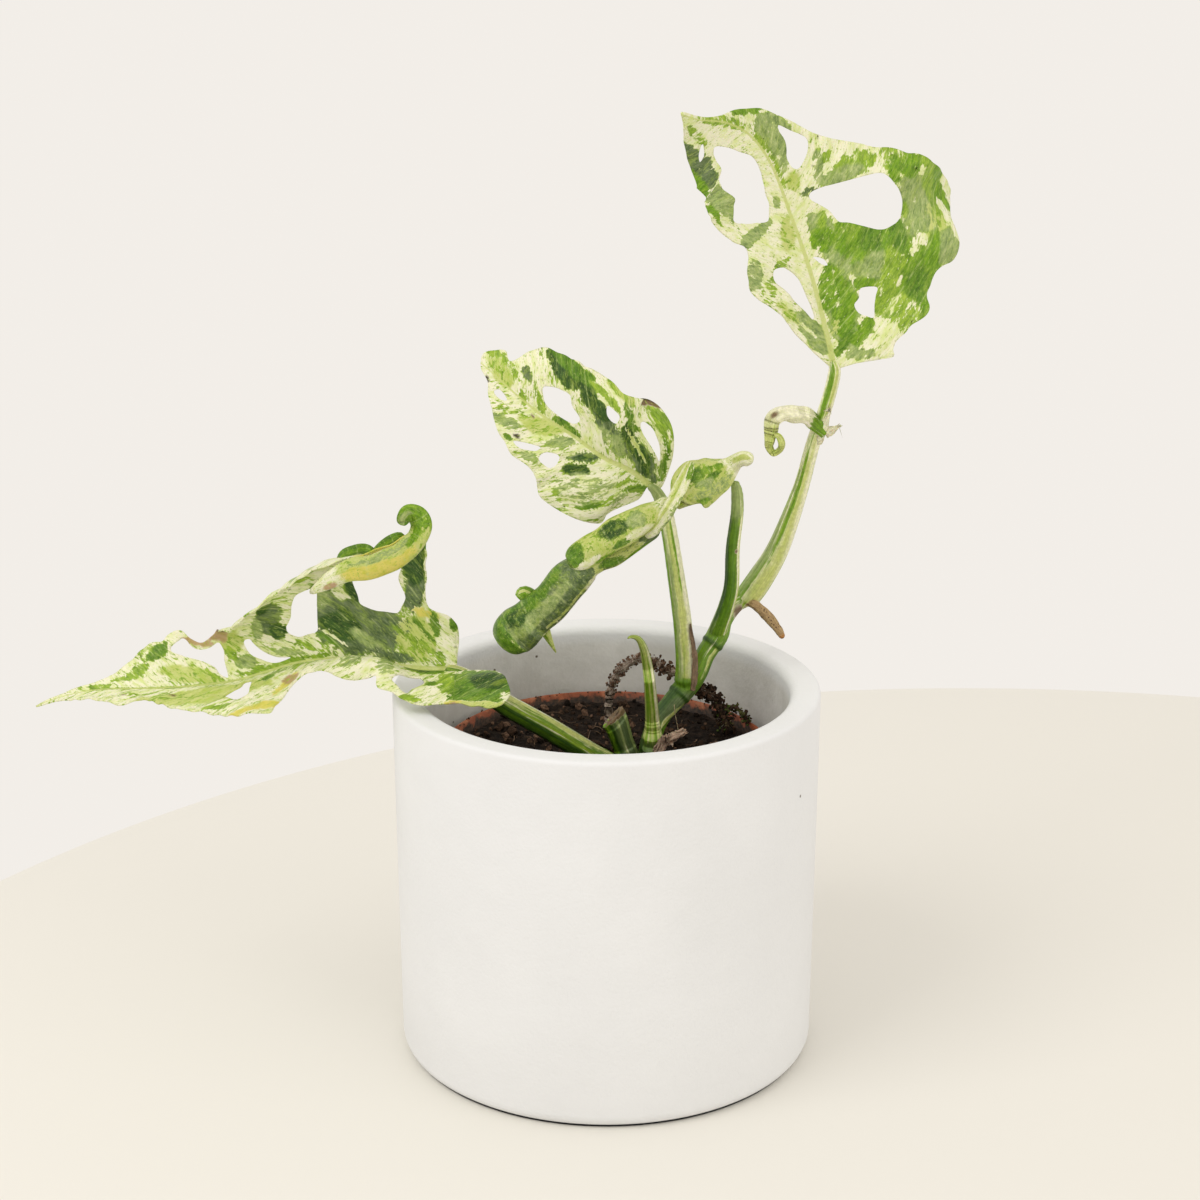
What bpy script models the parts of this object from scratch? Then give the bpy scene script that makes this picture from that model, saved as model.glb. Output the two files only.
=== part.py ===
"""A variegated monstera adansonii: a climbing stem with four pierced leaves and a new one,
rooted in a plastic nursery pot that stands in a thick-walled white cover pot.

The origin is the centre of the cover pot's foot, +Z is up and +Y points to the back of the plant.
Shapes are worked out in millimetres and written to Blender in metres.
"""

import math

import bmesh
import bpy
import numpy as np
from mathutils import Vector, geometry

MM = 0.001

# Cover pot: a thick straight cylinder with a little draft
POT_RADIUS = 70.0
POT_HEIGHT = 125.0
POT_DRAFT = 0.9  # how much smaller the foot's radius is
POT_INNER_RADIUS = 60.0
POT_FLOOR = 8.0
FOOT_ROUND = 5.0
LIP_ROUND_OUT = 1.5
LIP_ROUND_IN = 3.5
FLOOR_ROUND = 6.0

# Nursery pot: thin tapered plastic with a rolled rim
NURSERY_RIM_RADIUS = 55.0
NURSERY_RIM_Z = 103.0
NURSERY_RIM_DEPTH = 9.0
NURSERY_WALL_RADIUS = 52.0  # outside, just under the rim
NURSERY_FOOT_RADIUS = 40.0
NURSERY_WALL = 1.2

DRAIN_HOLES = 5
DRAIN_CIRCLE = 26.0  # radius of the circle that the drain holes stand on
DRAIN_RADIUS = 3.5

SOIL_TOP_Z = 99.0
BLADE_THICKNESS = 0.7
GAP = 0.3  # air left between two pieces that touch

COLOURS = {
    "cover_pot": ((0.86, 0.86, 0.83, 1), 0.7),
    "nursery_pot": ((0.32, 0.10, 0.05, 1), 0.5),
    "potting_soil": ((0.018, 0.012, 0.009, 1), 0.95),
    "stem": ((0.16, 0.27, 0.05, 1), 0.4),
    "blade": ((0.27, 0.42, 0.10, 1), 0.35),
    "new_blade": ((0.72, 0.74, 0.42, 1), 0.4),
    "root": ((0.22, 0.12, 0.06, 1), 0.9),
    "husk": ((0.42, 0.30, 0.20, 1), 0.85),
}

# Stems: points along the middle line and the radius at each of them
VINE = [
    (13, 3, 82, 3.4), (14, 4, 100, 3.4), (17, 8, 109, 3.3), (21, 10, 114, 3.4), (26, 13, 119, 4.0),
    (30, 14, 124, 3.6), (33, 16, 130, 3.3), (37, 18, 136, 3.7), (39, 20, 141, 3.2), (43, 22, 146, 3.2),
    (47, 23, 148, 3.4),
]
TOP_STALK = [
    (46.5, 23, 147, 4.2), (50.5, 22.8, 153, 4.3), (56, 22, 163, 3.8), (60, 21, 174, 3.2), (64, 19, 188, 2.5), (67, 17, 202, 2.3),
    (70, 16, 212, 2.2), (72, 15, 220, 2.1), (73, 14, 226.5, 2.0), (72.3, 14.5, 230, 1.3),
]
MIDDLE_STALK = [
    (26, 12, 121, 3.2), (26, 12, 130, 3.0), (25, 12, 143, 3.0), (23, 13, 157, 2.8), (21, 14, 170, 2.6),
    (19, 15, 180, 2.4), (16.5, 14.3, 186, 1.9), (13.6, 13.6, 189.2, 1.2),
]
ROLLED_STALK = [
    (37, 17, 138, 3.0), (39.5, 14, 147, 2.7), (41, 11, 156, 2.5), (41, 8, 169, 2.3), (42, 4, 182, 2.1),
    (41.8, 2.8, 189, 1.9), (40.9, 2.0, 193.5, 1.2),
]
LEFT_STALK = [
    (9, -9, 84, 3.8), (3, -9, 98, 4.0), (-6, -9, 104.5, 3.9), (-19, -9, 113, 3.8), (-33, -9, 121.5, 3.6),
    (-46, -10, 131.2, 2.9), (-52, -10, 134, 1.8),
]
YOUNG_SHOOT = [
    (15, -3, 86, 2.2), (15, -2.6, 101, 2.2), (15, -2.6, 113, 2.1), (14, -2.6, 125, 1.9), (13, -2.6, 135, 1.6),
    (11, -3, 140, 1.2), (8, -4, 142.5, 0.7),
]
CUT_STUB = [(8.5, -2, 88, 3.2), (8, -1.5, 97, 3.3), (5, -1, 106, 3.3), (2, -1, 114, 3.1)]
AERIAL_ROOT = [(46, 22, 147, 1.5), (50, 18, 146, 1.5), (54, 16, 142.5, 1.4), (57, 14, 139, 1.3), (58.5, 13, 136.5, 1.0)]
LOOPED_ROOT = [
    (1, 24, 92, 1.6), (1, 24, 103, 1.6), (1, 24, 111, 1.6), (2, 24, 116, 1.5), (4, 23, 121, 1.5), (8, 22, 125, 1.4),
    (12, 21, 127, 1.4), (16, 20, 126, 1.3), (19.5, 18, 124, 1.3), (23, 14, 124, 1.2),
]
RIGHT_ROOT = [
    (44, 20, 92, 1.3), (42, 22, 99, 1.4), (39, 22, 107, 1.4), (36, 20, 113, 1.5), (32, 18, 117, 1.5), (27, 13, 121, 1.5),
]
DRY_SHEATH = [(21, -5.5, 92, 1.9), (21, -5.5, 100, 2.0), (23, -6, 106, 1.7), (27, -7, 111, 1.1)]

# What stands in a hole of the soil: its points along the middle line, and its slot
STANDING = {
    "left_stalk": (LEFT_STALK, "stem"),
    "young_shoot": (YOUNG_SHOOT, "stem"),
    "cut_stub": (CUT_STUB, "stem"),
    "looped_root": (LOOPED_ROOT, "root"),
    "right_root": (RIGHT_ROOT, "root"),
    "dry_sheath": (DRY_SHEATH, "husk"),
}
# What each root grows out of
ROOT_SEATS = {
    "aerial_root": [VINE, TOP_STALK],
    "looped_root": [MIDDLE_STALK],
    "right_root": [VINE, MIDDLE_STALK],
}

# A leaf's spine is the line of its midrib from the stalk to the tip. At each of its points, facing is
# the way the leaf's face looks, and left and right are its cross-section: the angle between the blade
# and its own side direction, every ACROSS from the midrib outwards. A positive angle lifts the blade
# to the side that the face looks to, and past 90 degrees it rolls over. The outline and the holes are
# (u, v) points: u along the midrib, v across it, to the right as the face is looked at with the tip up.
ACROSS = 12.0


def catmull(points, t):
    """Smooth curve through the points, at the parameters t, which run from 0 to len(points) - 1."""
    points = np.asarray(points, float)
    before = 2 * points[0] - points[1]
    after = 2 * points[-1] - points[-2]
    p = np.vstack([before, points, after])
    t = np.clip(np.asarray(t, float), 0, len(points) - 1)
    i = np.minimum(t.astype(int), len(points) - 2)
    f = (t - i)[:, None]
    a, b, c, d = p[i], p[i + 1], p[i + 2], p[i + 3]
    return 0.5 * (2 * b + (c - a) * f + (2 * a - 5 * b + 4 * c - d) * f**2 + (3 * b - a - 3 * c + d) * f**3)


def unit(v):
    v = np.asarray(v, float)
    return v / np.linalg.norm(v, axis=-1, keepdims=True)


class Blade:
    """A leaf blade bent over its midrib. u runs along the midrib from the stalk and v across it,
    to the right as the face is looked at with the tip up. Both are in millimetres."""

    def __init__(self, spine, facing, left, right, ruffle=(1.0, 23.0, 0.0)):
        self.spine, self.facing = spine, facing
        self.left, self.right = self.profile(left), self.profile(right)
        self.ruffle = ruffle
        self.t = np.linspace(0, len(spine) - 1, 40 * (len(spine) - 1) + 1)
        path = catmull(spine, self.t)
        steps = np.linalg.norm(np.diff(path, axis=0), axis=1)
        self.run = np.concatenate([[0], np.cumsum(steps)])
        self.length = self.run[-1]

    def at(self, u, v):
        u, v = np.atleast_1d(np.asarray(u, float)), np.atleast_1d(np.asarray(v, float))
        t = np.interp(u, self.run, self.t)
        ahead = np.clip(t + 0.02, 0, self.t[-1])
        behind = np.clip(t - 0.02, 0, self.t[-1])
        along = unit(catmull(self.spine, ahead) - catmull(self.spine, behind))
        beyond = u - np.clip(u, 0, self.length)
        middle = catmull(self.spine, t) + along * beyond[:, None]
        face = catmull(self.facing, t)
        face = unit(face - along * (face * along).sum(1)[:, None])
        side = np.cross(along, face) * np.where(v < 0, -1.0, 1.0)[:, None]
        angles = np.where((v < 0)[:, None], catmull(self.left, t), catmull(self.right, t))
        out, up, last = self.section(angles, np.abs(v))
        size, wave, phase = self.ruffle
        reach = np.abs(v) / 30.0
        lift = size * reach**2 * np.sin(2 * np.pi * u / wave + phase + 2.0 * (v < 0))
        out = out - lift * np.sin(last)
        up = up + lift * np.cos(last)
        return middle + side * out[:, None] + face * up[:, None]

    @staticmethod
    def profile(rows):
        """The cross-sections in radians, each one filled up with its last angle."""
        most = 6
        return np.radians([list(row) + [row[-1]] * (most - len(row)) for row in rows])

    @staticmethod
    def section(angles, reach):
        """How far out and up a cross-section has come at each reach, and its angle there."""
        out, up = np.zeros(len(reach)), np.zeros(len(reach))
        last = angles[:, 0]
        spans = angles.shape[1] - 1
        for j in range(spans + 1):
            start = angles[:, j]
            end = angles[:, min(j + 1, spans)]
            run = np.clip(reach - j * ACROSS, 0, ACROSS if j < spans else 1e9)
            turn = (end - start) / ACROSS
            turn = np.where(np.abs(turn) < 1e-6, 1e-6, turn)
            out += (np.sin(start + turn * run) - np.sin(start)) / turn
            up += (np.cos(start) - np.cos(start + turn * run)) / turn
            last = np.where(run > 0, start + turn * run, last)
        return out, up, last


# Top leaf: faces the viewer, with its tip arched over to the left
TOP_LEAF = dict(
    spine=[
        (73, 14, 227), (69, 16, 243), (64, 18, 260), (58, 19, 276), (52, 18, 291),
        (45, 14, 301), (37, 8, 306), (28, 0, 308), (23, -5, 310),
    ],
    facing=[
        (0, -1, 0.2), (0, -1, 0.2), (0, -1, 0.2), (0, -1, 0.2), (0.1, -1, 0.1),
        (0.2, -1, -0.1), (0.3, -1, -0.4), (0.2, -1, -0.6), (0.2, -1, -0.6),
    ],
    left=[
        (30, 35, 35, 30), (30, 35, 35, 30), (30, 35, 35, 30), (25, 30, 35, 40), (20, 20, 25, 40),
        (15, 15, 20, 40), (10, 10, 20, 40), (5, 5, 20, 40), (0, 0, 20, 40),
    ],
    right=[
        (10, 10, 0, -10, -20), (5, 5, 0, -15, -30), (5, 0, 0, -15, -40), (5, 0, 0, -10, -40),
        (5, 0, -5, -15, -40), (0, -15, -20, -30, -40), (-20, -40, -60, -60, -60),
        (-40, -70, -80, -80, -80), (-30, -60, -80, -90, -90),
    ],
    outline=[
        (0, 0.6), (0.5, 8), (0, 15), (0, 19.2), (2.3, 19.6), (4.8, 21.3), (6.5, 24.3), (8.5, 27), (9.8, 31.5),
        (11.8, 33.8), (15.5, 34.3), (18, 36.5), (21.3, 39), (22.5, 42), (23.6, 46), (27.5, 48.5), (30.8, 49),
        (34, 50.5), (37.5, 56), (40.5, 59), (46, 53), (50.5, 47), (54, 45), (56.5, 41), (59.3, 37), (60.8, 32.5),
        (63, 28.8), (64.8, 25), (67.3, 20), (70, 16.5), (72.5, 14.5), (76.5, 12), (79.5, 10.3), (82, 9.2),
        (84, 8.3), (87, 6.3), (90.7, 4.5), (94.5, 2), (99.5, 1), (106, 1), (112.5, 0.5), (108, -3.5), (104.3, -8.5),
        (100.7, -14.2), (95.7, -20), (91.5, -22.5), (80, -25.5), (67, -28.5), (58, -27), (52.5, -24), (49, -20.7),
        (45.5, -21), (43, -23), (36.5, -24.5), (31, -23.5), (27, -20.5), (21.5, -15.5), (15, -12), (10.3, -8.8),
        (6, -5.5), (2, -2), (0, -0.6),
    ],
    holes=[
        [
            (93.3, -8.3), (88, -7), (81, -6), (75.5, -4), (70, -4.2), (62.5, -5.7), (57, -6.2), (53, -8.5), (54, -13),
            (55.5, -17), (58.3, -20.2), (66.5, -17.2), (74, -18.3), (79, -17.8), (83.5, -16.8), (85.5, -14), (90, -11.8),
        ],
        [(99, -8), (97.6, -8.5), (96, -12), (96.5, -14), (98, -12)],
        [
            (55.8, 8), (56.2, 12.5), (55.3, 20.7), (54.7, 26.3), (53.8, 31), (51.7, 32.7), (48.8, 34), (44.5, 35.3),
            (41.2, 34.6), (38.3, 32.3), (37.2, 28.5), (37.5, 24.8), (40, 20.5), (42.5, 16.5), (44, 13.5), (48, 12),
            (51.3, 9.5), (54, 7.5),
        ],
        [
            (77.3, 8.6), (74.2, 10.5), (70.2, 13.5), (67.7, 12.6), (65.6, 10.3), (64, 7.5), (65, 5.6), (68.2, 5.2),
            (70.5, 6.4), (73, 7.4), (76, 7.6),
        ],
        [
            (37.3, -14), (37, -9.5), (34.7, -7), (31.7, -5.2), (27, -4.2), (22.5, -3.3), (18.3, -2.9), (17.7, -4.4),
            (21.2, -6.4), (25.3, -9.6), (29.8, -12.2), (34, -14.5),
        ],
        [(23, 14), (22, 19), (19.5, 18), (17, 17), (13.3, 15.8), (14.2, 13.6), (15.8, 11.4), (18.6, 10.7), (20.2, 12.6)],
        [(36.4, 2.3), (35.5, 4.4), (34.2, 5.6), (32.6, 5.9), (33.4, 4.2)],
    ],
)

# Middle leaf: faces the viewer and points up to the left, its far margin bent back
MIDDLE_LEAF = dict(
    spine=[
        (16, 14, 187), (8, 12, 194), (-1, 10, 199), (-10, 9, 206),
        (-19, 9, 212), (-28, 10, 219), (-35, 12, 225), (-40, 14, 229),
    ],
    facing=[
        (0, -1, 0.3), (0, -1, 0.3), (0, -1, 0.3), (0, -1, 0.3),
        (0, -1, 0.3), (0, -1, 0.3), (0, -1, 0.3), (0, -1, 0.3),
    ],
    left=[
        (10, 0, -20), (10, 0, -20), (10, 0, -25), (10, 0, -25),
        (10, 0, -25), (5, 0, -30), (0, 0, -50), (0, 0, -50),
    ],
    right=[
        (15, 15, -10, -40), (15, 20, -20, -50), (20, 25, -30, -50), (20, 25, -40, -60),
        (20, 20, -50, -60), (15, 5, -50, -60), (10, -20, -60, -60), (0, -40, -60, -60),
    ],
    outline=[
        (0, -0.8), (3, -1), (3, -6), (6, -11), (9.5, -15.5), (13, -19.5), (18, -21), (23, -22), (28, -22.5),
        (33, -21.5), (37, -18), (41, -16), (46, -16), (50, -14), (53, -13), (56, -11), (59, -8.5), (63, -6),
        (66, -3), (70, -1.5), (72, 0.5), (73, 3), (71, 6), (68, 8), (65, 6.5), (63.5, 9), (62.5, 13), (60, 17),
        (56, 18.5), (51, 20), (46, 21.5), (42, 22), (38, 23), (34, 22.5), (30, 21), (25, 23), (19, 24), (14, 23.5),
        (11, 21), (8.5, 18), (6, 14.5), (3.5, 11), (1, 6.5), (-0.5, 3), (-0.5, 0.8),
    ],
    holes=[
        [
            (51, 7.5), (49, 9.5), (45, 11), (42, 11), (39.5, 8.5), (36, 7), (34.8, 5.5), (35.5, 3.5), (38, 3),
            (42, 3), (46.5, 3.5), (49, 5),
        ],
        [(31.5, 15), (29.5, 15.3), (27, 15), (26, 13.5), (26, 12), (27.5, 11.7), (30, 12.7)],
        [(16, 15.8), (14.8, 16.6), (12.5, 15.8), (10.8, 14), (8.3, 11.3), (6, 8), (8, 9), (11.3, 11), (14, 13)],
        [(48, -12.3), (46, -10.8), (42.5, -9.3), (40.6, -8.8), (41, -10.3), (42.5, -11.5), (45.3, -12.8)],
        [(39.6, -11), (38.3, -9), (35.3, -8), (33.5, -8.5), (33.3, -11.3), (34.8, -13), (37, -13), (39, -12.6)],
        [(62.3, -4), (61.3, -2.4), (58.6, -2.6), (57.2, -3.4), (58.7, -4.5), (60.8, -4.6)],
    ],
)

# Rolled leaf: still half furled, its midrib below and its two halves wrapped round each other
ROLLED_LEAF = dict(
    ruffle=(0, 20, 0),
    spine=[
        (41.4, 2.2, 194.3), (37.8, 0.5, 190.2), (31.4, -2.0, 186.9), (25.3, -4.0, 184.5), (19.5, -6.0, 181.4), (13.8, -8.5, 176.8),
        (2.3, -11.0, 168.3), (-5.6, -12.5, 161.1), (-13.0, -13.0, 152.5), (-18.1, -13.0, 144.1), (-22.0, -13.0, 138.0),
    ],
    facing=[(0, -1, 0.3), (0, -1, 0.3), (0, -1, 0.2), (0, -1, 0.1)] + [(0, -1, 0)] * 7,
    left=[
        (90, 180), (90, 180), (90, 180), (95, 190), (100, 200), (100, 200),
        (100, 200), (105, 215), (105, 215), (100, 200), (100, 200),
    ],
    right=[
        (-90, 20, 130, 230), (-90, -5, 80, 165, 230), (-90, -14, 62, 138, 200), (-90, -8, 74, 156, 220),
        (-90, 5, 100, 195, 225), (-90, 8, 106, 204, 225), (-90, 8, 106, 204, 225), (-90, 20, 130, 230),
        (-90, 20, 130, 230), (-90, -5, 80, 165, 230), (-90, -5, 80, 165, 230),
    ],
    outline=[
        (0, -0.6), (-3, -2.5), (-6.5, -5), (-7, -7.5), (-4, -9.5), (0, -11), (5, -12.5), (10, -12.5), (15, -11),
        (19, -8.5), (24, -7.5), (35, -7), (46, -7), (58, -7), (68, -7.5), (76, -7.5), (80, -5.5), (83, -2),
        (84.5, 2), (88, 6), (91, 11), (91.5, 18), (90, 24), (85, 29), (78, 33), (70, 33), (64, 31), (60, 27),
        (57.5, 20), (55.5, 12), (53.5, 14), (54, 22), (53, 29), (49, 33), (44, 34), (36, 33.5), (28, 33),
        (23, 30), (20, 24), (18.5, 18), (16.5, 24), (16, 32), (13, 37), (8, 38), (4, 34), (1, 27), (-1, 18),
        (-1.5, 9), (-0.5, 2), (0, 0.6),
    ],
    holes=[],
)

# Left leaf: lies out to the left over the lip, its far half standing up and rolled over at the top
LEFT_LEAF = dict(
    spine=[
        (-48, -10, 134), (-60, -10, 134), (-75, -10, 136), (-88, -10, 137), (-99, -10, 136), (-110, -11, 133),
        (-122, -12, 130), (-142, -12, 128), (-164, -11, 127), (-177, -10, 124), (-185, -10, 121),
    ],
    facing=[
        (0, 0, 1), (0, 0, 1), (0, 0, 1), (0, 0, 1), (0, 0, 1), (0, 0, 1),
        (0, 0, 1), (0, 0, 1), (0, 0, 1), (0, 0, 1), (0, 0, 1),
    ],
    left=[
        (-10, -15, -20, -25), (-10, -15, -20, -25), (70, -60, -50, -50), (30, -20, -30, -30),
        (5, -15, -15, -15), (0, -5, -10, -15), (0, -5, -10, -15), (0, -5, -10, -15),
        (-5, -10, -15, -20), (-10, -10, -20, -20), (-10, -10, -20, -20),
    ],
    right=[
        (75, 90, 95, 100, 110, 120), (75, 88, 90, 92, 95, 120), (75, 88, 90, 95, 180, 235),
        (75, 88, 90, 160, 230, 235), (70, 88, 110, 200, 230, 230), (65, 85, 170, 205, 205, 205),
        (60, 80, 180, 200, 200, 200), (50, 55, 60, 60, 60, 60), (40, 45, 50, 50, 50, 50),
        (30, 30, 30, 30, 30, 30), (30, 30, 30, 30, 30, 30),
    ],
    outline=[
        (0.3, 0.5), (0, 5), (-0.5, 9.5), (0, 14.5), (2.5, 18), (6, 19.3), (10, 20.8), (11.5, 25), (12.3, 32),
        (13.5, 38), (14.5, 42), (13.8, 47), (15, 52), (18, 55.5), (21.5, 55), (24, 54.5), (28, 55), (32, 51),
        (36, 46), (40, 42.5), (45, 38), (50, 35), (55, 31), (60, 28), (65, 25.5), (70, 24), (74, 22), (77, 17.5),
        (80, 15), (83, 14), (87, 16), (89.3, 18.5), (92, 19), (94.5, 17.8), (96.5, 16), (101, 15.5), (104.5, 13),
        (110.7, 7.5), (117.2, 3.5), (125.5, 2.2), (131, 1.2), (136, 0.8), (139.2, 0), (136, -0.8), (130.5, -2),
        (122, -6), (115, -8.5), (109.3, -12), (106, -12.7), (100, -10), (95, -14), (87.5, -18.6), (81.7, -20.6),
        (75.5, -24), (69, -29), (62, -30), (60, -26), (57.3, -21.5), (54.3, -16.7), (50.7, -13.3), (46.5, -12),
        (40, -14), (34.8, -16.5), (28.3, -15), (25.5, -13.5), (24.5, -17), (19.3, -16.8), (16, -18.5), (10.8, -20),
        (4.7, -20.2), (-1.5, -20.8), (-8, -21.5), (-12, -21.8), (-15.5, -20), (-17.3, -15.8), (-16.5, -9.3),
        (-13.5, -3), (-8, -0.8), (-3, -1), (0.3, -0.5),
    ],
    holes=[
        [
            (22.8, 36.5), (22.6, 32.5), (22.8, 28.5), (21.2, 25.3), (20, 22.8), (20.8, 19.5), (22, 17.3), (25.6, 17.3),
            (30.2, 17.8), (33, 19), (33.8, 21.5), (35, 25), (36, 29), (35.5, 32), (33, 35.5), (30, 38), (28, 38.5),
            (25.5, 38),
        ],
        [
            (47, 23.5), (44, 24), (44, 19), (44.3, 13.3), (44.7, 9.5), (47, 8.8), (50, 8.3), (52.3, 10),
            (52.7, 12), (51, 15.5), (50, 20), (49, 22.5),
        ],
        [
            (66.3, 11.5), (64.3, 12), (63.3, 9.6), (61.3, 6.8), (57.3, 3.6), (53.5, 2.4), (56, 1.9), (59.2, 2.2),
            (63, 4.6), (65.5, 7.3),
        ],
        [
            (93.8, 12.5), (93, 14.2), (90, 16.2), (88, 15.4), (86.3, 13.2), (83.5, 11.8), (79.8, 12), (76.3, 13.5),
            (75, 11), (75.2, 7.6), (75, 4.3), (75, 1.5), (77.7, 3.3), (79, 5.5), (83.3, 8), (88.8, 10),
        ],
        [
            (75.2, -12.3), (73.2, -10), (70.8, -8.5), (69.3, -5.3), (67, -5.5), (67.6, -10.5), (68.2, -15.5),
            (70.6, -17), (74, -14.8),
        ],
        [
            (20.3, -12.4), (18.5, -9.5), (14.5, -7), (12, -6.8), (10.3, -8.3), (11.2, -10.8), (13.7, -13.3),
            (15, -15.5), (18, -14),
        ],
    ],
)

# New leaf: small, pale and still folded, hanging from the top leaf's stalk
NEW_LEAF = dict(
    spine=[(70, 16, 207), (65, 14, 212), (59, 11, 215), (54, 9, 216), (52, 8, 212), (52, 8, 205), (54, 8, 202)],
    facing=[(0, -1, 0.3)] * 7,
    left=[(10, 200)] * 7,
    right=[(10, 200)] * 7,
    outline=[
        (0.3, -0.6), (4, -1.5), (8, -4.5), (13, -6), (18, -5), (23, -2.5), (27, -0.3), (23, 2), (18, 4.5), (12, 5.5),
        (7, 4), (4, 1.5), (0.3, 0.6),
    ],
    holes=[],
)

# Each leaf, the slot of its colour, the stalk that carries it and how far apart its points stand, along and across
LEAVES = {
    "leaf_top": (TOP_LEAF, "blade", TOP_STALK, (5.0, 5.0)),
    "leaf_middle": (MIDDLE_LEAF, "blade", MIDDLE_STALK, (4.5, 4.5)),
    "leaf_rolled": (ROLLED_LEAF, "blade", ROLLED_STALK, (5.0, 3.2)),
    "leaf_left": (LEFT_LEAF, "blade", LEFT_STALK, (4.8, 4.2)),
    "leaf_new": (NEW_LEAF, "new_blade", TOP_STALK, (4.0, 2.0)),
}


def closed_curve(points, step):
    """Points every step or so along the smooth closed curve through an outline."""
    ring = list(points) + [points[0]]
    padded = np.array([points[-1]] + ring + [points[1]], float)
    lengths = [math.dist(ring[i], ring[i + 1]) for i in range(len(points))]
    result = []
    for i, length in enumerate(lengths):
        count = max(1, round(length / step))
        t = 1 + i + np.arange(count) / count
        result.extend(catmull(padded, t))
    return np.array(result)


def material(slot):
    colour, roughness = COLOURS[slot]
    shader = bpy.data.materials.get(slot)
    if shader is None:
        shader = bpy.data.materials.new(slot)
        shader.use_nodes = True
        node = shader.node_tree.nodes["Principled BSDF"]
        node.inputs["Base Color"].default_value = colour
        node.inputs["Roughness"].default_value = roughness
    return shader


def smooth_shading(mesh, smooth=True):
    for face in mesh.polygons:
        face.use_smooth = smooth


def add_object(name, mesh, slot, collection):
    thing = bpy.data.objects.new(name, mesh)
    collection.objects.link(thing)
    if slot:
        mesh.materials.append(material(slot))
    smooth_shading(mesh)
    return thing


def add_cutter(name, mesh, cutters):
    cutter = add_object(name, mesh, None, cutters)
    cutter.hide_render = True
    cutter.display_type = "WIRE"
    return cutter


def turned(name, profile, steps, slot, collection):
    """A body of revolution. The profile is (radius, z) from the axis inside to the axis below."""
    mesh = bpy.data.meshes.new(name)
    mesh.from_pydata([(r * MM, 0, z * MM) for r, z in profile], [(i, i + 1) for i in range(len(profile) - 1)], [])
    thing = add_object(name, mesh, slot, collection)
    screw = thing.modifiers.new("Turn", "SCREW")
    screw.axis = "Z"
    screw.steps = screw.render_steps = steps
    screw.use_merge_vertices = True
    screw.merge_threshold = 0.00001
    screw.use_smooth_shade = True
    return thing


def corner(radius, z, size, start, steps=3):
    """A rounded corner of a profile: a quarter turn about (radius, z) from the start angle, clockwise."""
    angles = [math.radians(start - 90 * i / steps) for i in range(steps + 1)]
    return [(radius + size * math.cos(a), z + size * math.sin(a)) for a in angles]


def tube_mesh(name, points, grow=0.0, spacing=4.0):
    """A round stem along a smooth line, its radius changing from point to point, with closed ends."""
    points = np.array(points, float)
    points[0, :3] -= unit(points[1, :3] - points[0, :3]) * grow
    points[-1, :3] += unit(points[-1, :3] - points[-2, :3]) * grow
    length = np.linalg.norm(np.diff(points[:, :3], axis=0), axis=1).sum()
    samples = catmull(points, np.linspace(0, len(points) - 1, max(4, round(length / spacing))))
    curve = bpy.data.curves.new(name, "CURVE")
    curve.dimensions = "3D"
    curve.bevel_depth = MM
    curve.bevel_resolution = 2
    curve.use_fill_caps = True
    spline = curve.splines.new("POLY")
    spline.points.add(len(samples) - 1)
    for point, (x, y, z, radius) in zip(spline.points, samples):
        point.co = (x * MM, y * MM, z * MM, 1)
        point.radius = radius + grow
    thing = bpy.data.objects.new(name, curve)
    bpy.context.scene.collection.objects.link(thing)
    view = bpy.context.evaluated_depsgraph_get()
    mesh = bpy.data.meshes.new_from_object(thing.evaluated_get(view))
    mesh.transform(thing.matrix_world)
    bpy.data.objects.remove(thing)
    weld(mesh)
    return mesh


def weld(mesh):
    bm = bmesh.new()
    bm.from_mesh(mesh)
    bmesh.ops.remove_doubles(bm, verts=bm.verts[:], dist=1e-6)
    bmesh.ops.triangulate(bm, faces=[f for f in bm.faces if len(f.verts) > 4])
    bmesh.ops.recalc_face_normals(bm, faces=bm.faces[:])
    bm.to_mesh(mesh)
    bm.free()


def cut(thing, cutter):
    boolean = thing.modifiers.new("Cut " + cutter.name, "BOOLEAN")
    boolean.operation = "DIFFERENCE"
    boolean.solver = "EXACT"
    boolean.object = cutter
    return boolean


def inside(points, loop):
    """Which points lie inside a closed loop, by counting the sides that a ray crosses."""
    x, y = points[:, 0], points[:, 1]
    crossings = np.zeros(len(points), int)
    for (x1, y1), (x2, y2) in zip(loop, np.roll(loop, -1, axis=0)):
        between = (y1 > y) != (y2 > y)
        height = np.where(y2 == y1, 1.0, y2 - y1)
        crossings += between & (x < x1 + (y - y1) / height * (x2 - x1))
    return crossings % 2 == 1


def on_blade(points, loops):
    """Which points lie on the blade: inside its outline and in none of its holes."""
    kept = inside(points, loops[0])
    for hole in loops[1:]:
        kept &= ~inside(points, hole)
    return kept


def inner_points(loops, grid):
    """Staggered points over the blade, clear of its edges and of the midrib."""
    du, dv = grid
    rows = []
    for j in range(int(-40 / dv), int(64 / dv)):
        u = np.arange(-20, 145, du) + (j % 2) * du / 2
        rows.append(np.column_stack([u, np.full(len(u), j * dv)]))
    points = np.vstack(rows)
    points = points[on_blade(points, loops)]
    edges = np.vstack(loops)
    far = [np.min(np.hypot(*((edges - p) / grid).T)) > 0.55 and abs(p[1]) > 0.4 * dv for p in points]
    return points[far]


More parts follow.
